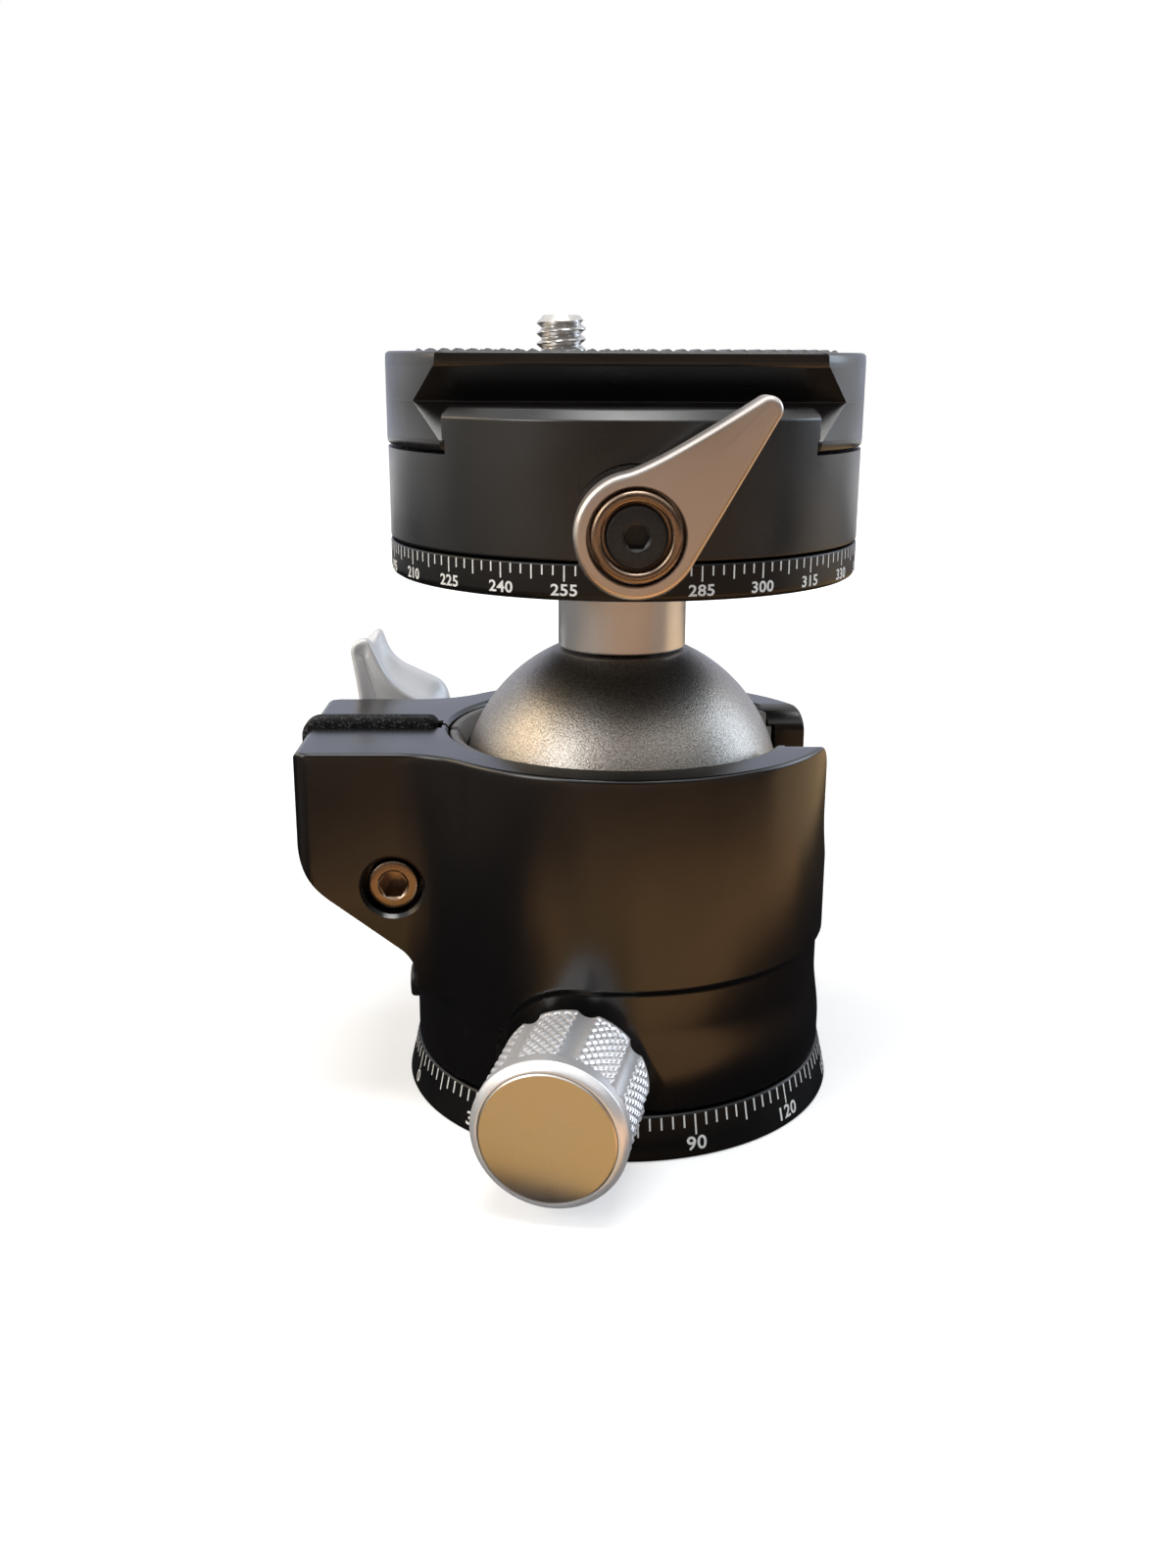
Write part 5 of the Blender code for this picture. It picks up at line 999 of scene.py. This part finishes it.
def plate_body():
    """The plate in level slices from its top down: each is the disc of its radius cut off straight at
    its half-width, x = sqrt(r^2 - y^2) with |y| up to the half-width."""
    side = eased([
        (19.9, plate_high, 0.4), (19.9, 96.0, 0.35), (16.1, 91.9, 0.1), (20.5, 87.55, 0.3),
        (20.5, plate_low, 0.4), (0, plate_low, 0), (0, plate_high, 0),
    ], 5)
    side = side[np.argsort(-side[:, 1], kind="stable")]
    side = side[side[:, 0] > 1]
    edge = np.clip(np.minimum(plate_high - side[:, 1], side[:, 1] - plate_low), 0, plate_ease)
    radius = plate_radius - plate_ease + np.sqrt(np.maximum(plate_ease**2 - (plate_ease - edge) ** 2, 0))
    rows = []
    for (half, z), r in zip(side, radius):
        y = half * np.sin(np.linspace(-math.pi / 2, math.pi / 2, 61))
        x = np.sqrt(r**2 - y**2)
        across = np.linspace(x[-1], -x[-1], 30)[1:-1]
        rows.append(np.concatenate([
            joined(x, y, z), joined(across, half, z), joined(-x, y[::-1], z), joined(-across, -half, z),
        ]))
    rows = np.stack(rows)
    return bar(rows, [(0, 0, plate_high), (0, 0, plate_low)])


def long_hole(half_length, half_width):
    """A slot seen from above: two straight sides and two half-round ends."""
    end = [half_length - half_width, 0] + arc(half_width, np.linspace(-math.pi / 2, math.pi / 2, 25))
    return np.concatenate([end, -end])


def pad_line(side, spare):
    """A pad seen from above: straight inner and outer sides and round ends."""
    inner, outer, radius = pad_inner - spare, pad_outer + spare, pad_radius + spare
    end = arc(radius, np.linspace(math.asin(inner / radius), math.asin(outer / radius), 16))
    return np.concatenate([end, (end * [-1, 1])[::-1]]) * [1, side]


plate_cutters = [
    prism(long_hole(20.5, 7.8), 2, 80, 91.0),
    prism(long_hole(16.0, 3.5), 2, 90, 100),
    *[prism(pad_line(side, 0.3), 2, 96.4, 100) for side in (-1, 1)],
]
plate = carved(plate_body(), *plate_cutters)
piece("plate_body", plate, plate_black, "plate", "black_anodised", "quick_release_plate")
pad_rubber = finish("pad_rubber", (0.10, 0.105, 0.11), (0.045, 0.048, 0.05), 0.55, 0.0, 0.45, 0.5, 0.02, 5.0)
pad_low, pad_high, pad_margin, tooth_pitch, tooth_depth = 96.7, 97.85, 0.8, 1.75, 0.5


def toothed_pad(side):
    """A pad with a level foot and ribs across its top that die out within a margin of its rim. Both
    sheets are grids [across, along], and a wall joins their rims."""
    y = (pad_inner + (pad_outer - pad_inner) * np.linspace(0, 1, 29))[:, None]
    reach = np.sqrt(pad_radius**2 - y**2)
    x = np.linspace(-1, 1, 241) * reach
    to_rim = np.minimum(reach - np.abs(x), np.minimum(y - pad_inner, pad_outer - y))
    tooth = triangle_wave(x / tooth_pitch) * np.clip(1.2 * np.clip(to_rim / pad_margin, 0, 1), 0, 1)
    upper = joined(x, side * y, pad_high - tooth_depth * (1 - tooth))
    lower = joined(x, side * y, pad_low)
    index = np.arange(x.size).reshape(x.shape)
    flat = joined(index[:-1, :-1], index[:-1, 1:], index[1:, 1:], index[1:, :-1]).reshape(-1, 4)
    edge = np.concatenate([index[0], index[1:, -1], index[-1, -2::-1], index[-2:0:-1, 0]])
    on = np.roll(edge, -1)
    wall = joined(edge + x.size, on + x.size, on, edge)
    points = np.concatenate([upper.reshape(-1, 3), lower.reshape(-1, 3)])
    return welded(points, np.concatenate([flat, flat[:, ::-1] + x.size, wall]))


for side, name in ((-1, "plate_pad_front"), (1, "plate_pad_rear")):
    piece(f"{name}_rubber", toothed_pad(side), pad_rubber, "plate", "rubber", name)


# Camera screw: a bright steel screw in the plate's slot, with its thread standing above the plate and
# a slotted head in the recess below.
screw_x, thread_radius, thread_pitch, thread_high, head_radius = -8.0, 3.1, 1.27, 101.9, 7.0


def thread(radius, pitch, depth, low, high, sides=96):
    """A threaded rod. Its radius at (angle, height) is r - depth tri(height / pitch - angle / 2 pi),
    flattened at crest and root, and drawn in at the top as a chamfer."""
    angle = np.linspace(0, math.tau, sides, endpoint=False)
    a, h = np.meshgrid(angle, np.linspace(high, low, 110))
    flank, flat, lead_in, lead_depth = 1.35, 0.15, 0.9, 0.85
    wave = np.clip(flank * triangle_wave(h / pitch - a / math.tau) - flat, 0, 1)
    lead = np.clip(1 - (high - h) / lead_in, 0, 1)
    out = np.minimum(radius - depth * wave, radius - lead_depth * lead)
    rows = joined(out * np.cos(a), out * np.sin(a), h)
    return bar(rows, [(0, 0, high), (0, 0, low)])


stud = thread(thread_radius, thread_pitch, depth=0.62, low=88.6, high=thread_high)
head = lathe(eased([
    (0, 89.6, 0), (head_radius, 89.6, 0.3), (head_radius, 87.6, 0.3), (0, 87.6, 0),
]), 120, closed=False)
screw = carved(carved(head, stud, way="UNION"), block((-9, -0.6, 80), (9, 0.6, 88.6)))
screw_steel = finish("screw_steel", (0.74, 0.72, 0.70), (0.58, 0.56, 0.54), 0.30, 0.8, 0.5, 0.5, 0.003,
                     2.0, 0.05)
camera_screw = moved(screw, screw_x, 0, 0)
piece("camera_screw_steel", camera_screw, screw_steel, "camera_screw", "stainless", "camera_screw")


# Hidden parts: washers, spindles, springs, pins and screws inside keep their CAD shape and take the
# finish of what they are made of.
brass = finish("brass", (0.72, 0.52, 0.22), (0.60, 0.42, 0.18), 0.30, 1.0, 0.5, 0.3, 0.004, 4.0)
slide_plastic = finish("slide_plastic", (0.66, 0.65, 0.60), (0.54, 0.53, 0.49), 0.42, 0.0, 0.4, 0.5, 0.005)
hidden_looks = {
    "stainless": steel, "black_steel": blued_steel, "brass": brass, "acetal": liner_plastic,
    "bearing_plastic": slide_plastic,
}
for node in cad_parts.values():
    if not node.hide_render:
        for slot in node.material_slots:
            slot.material = hidden_looks.get(slot.material.name.split(".")[0] if slot.material else "", steel)
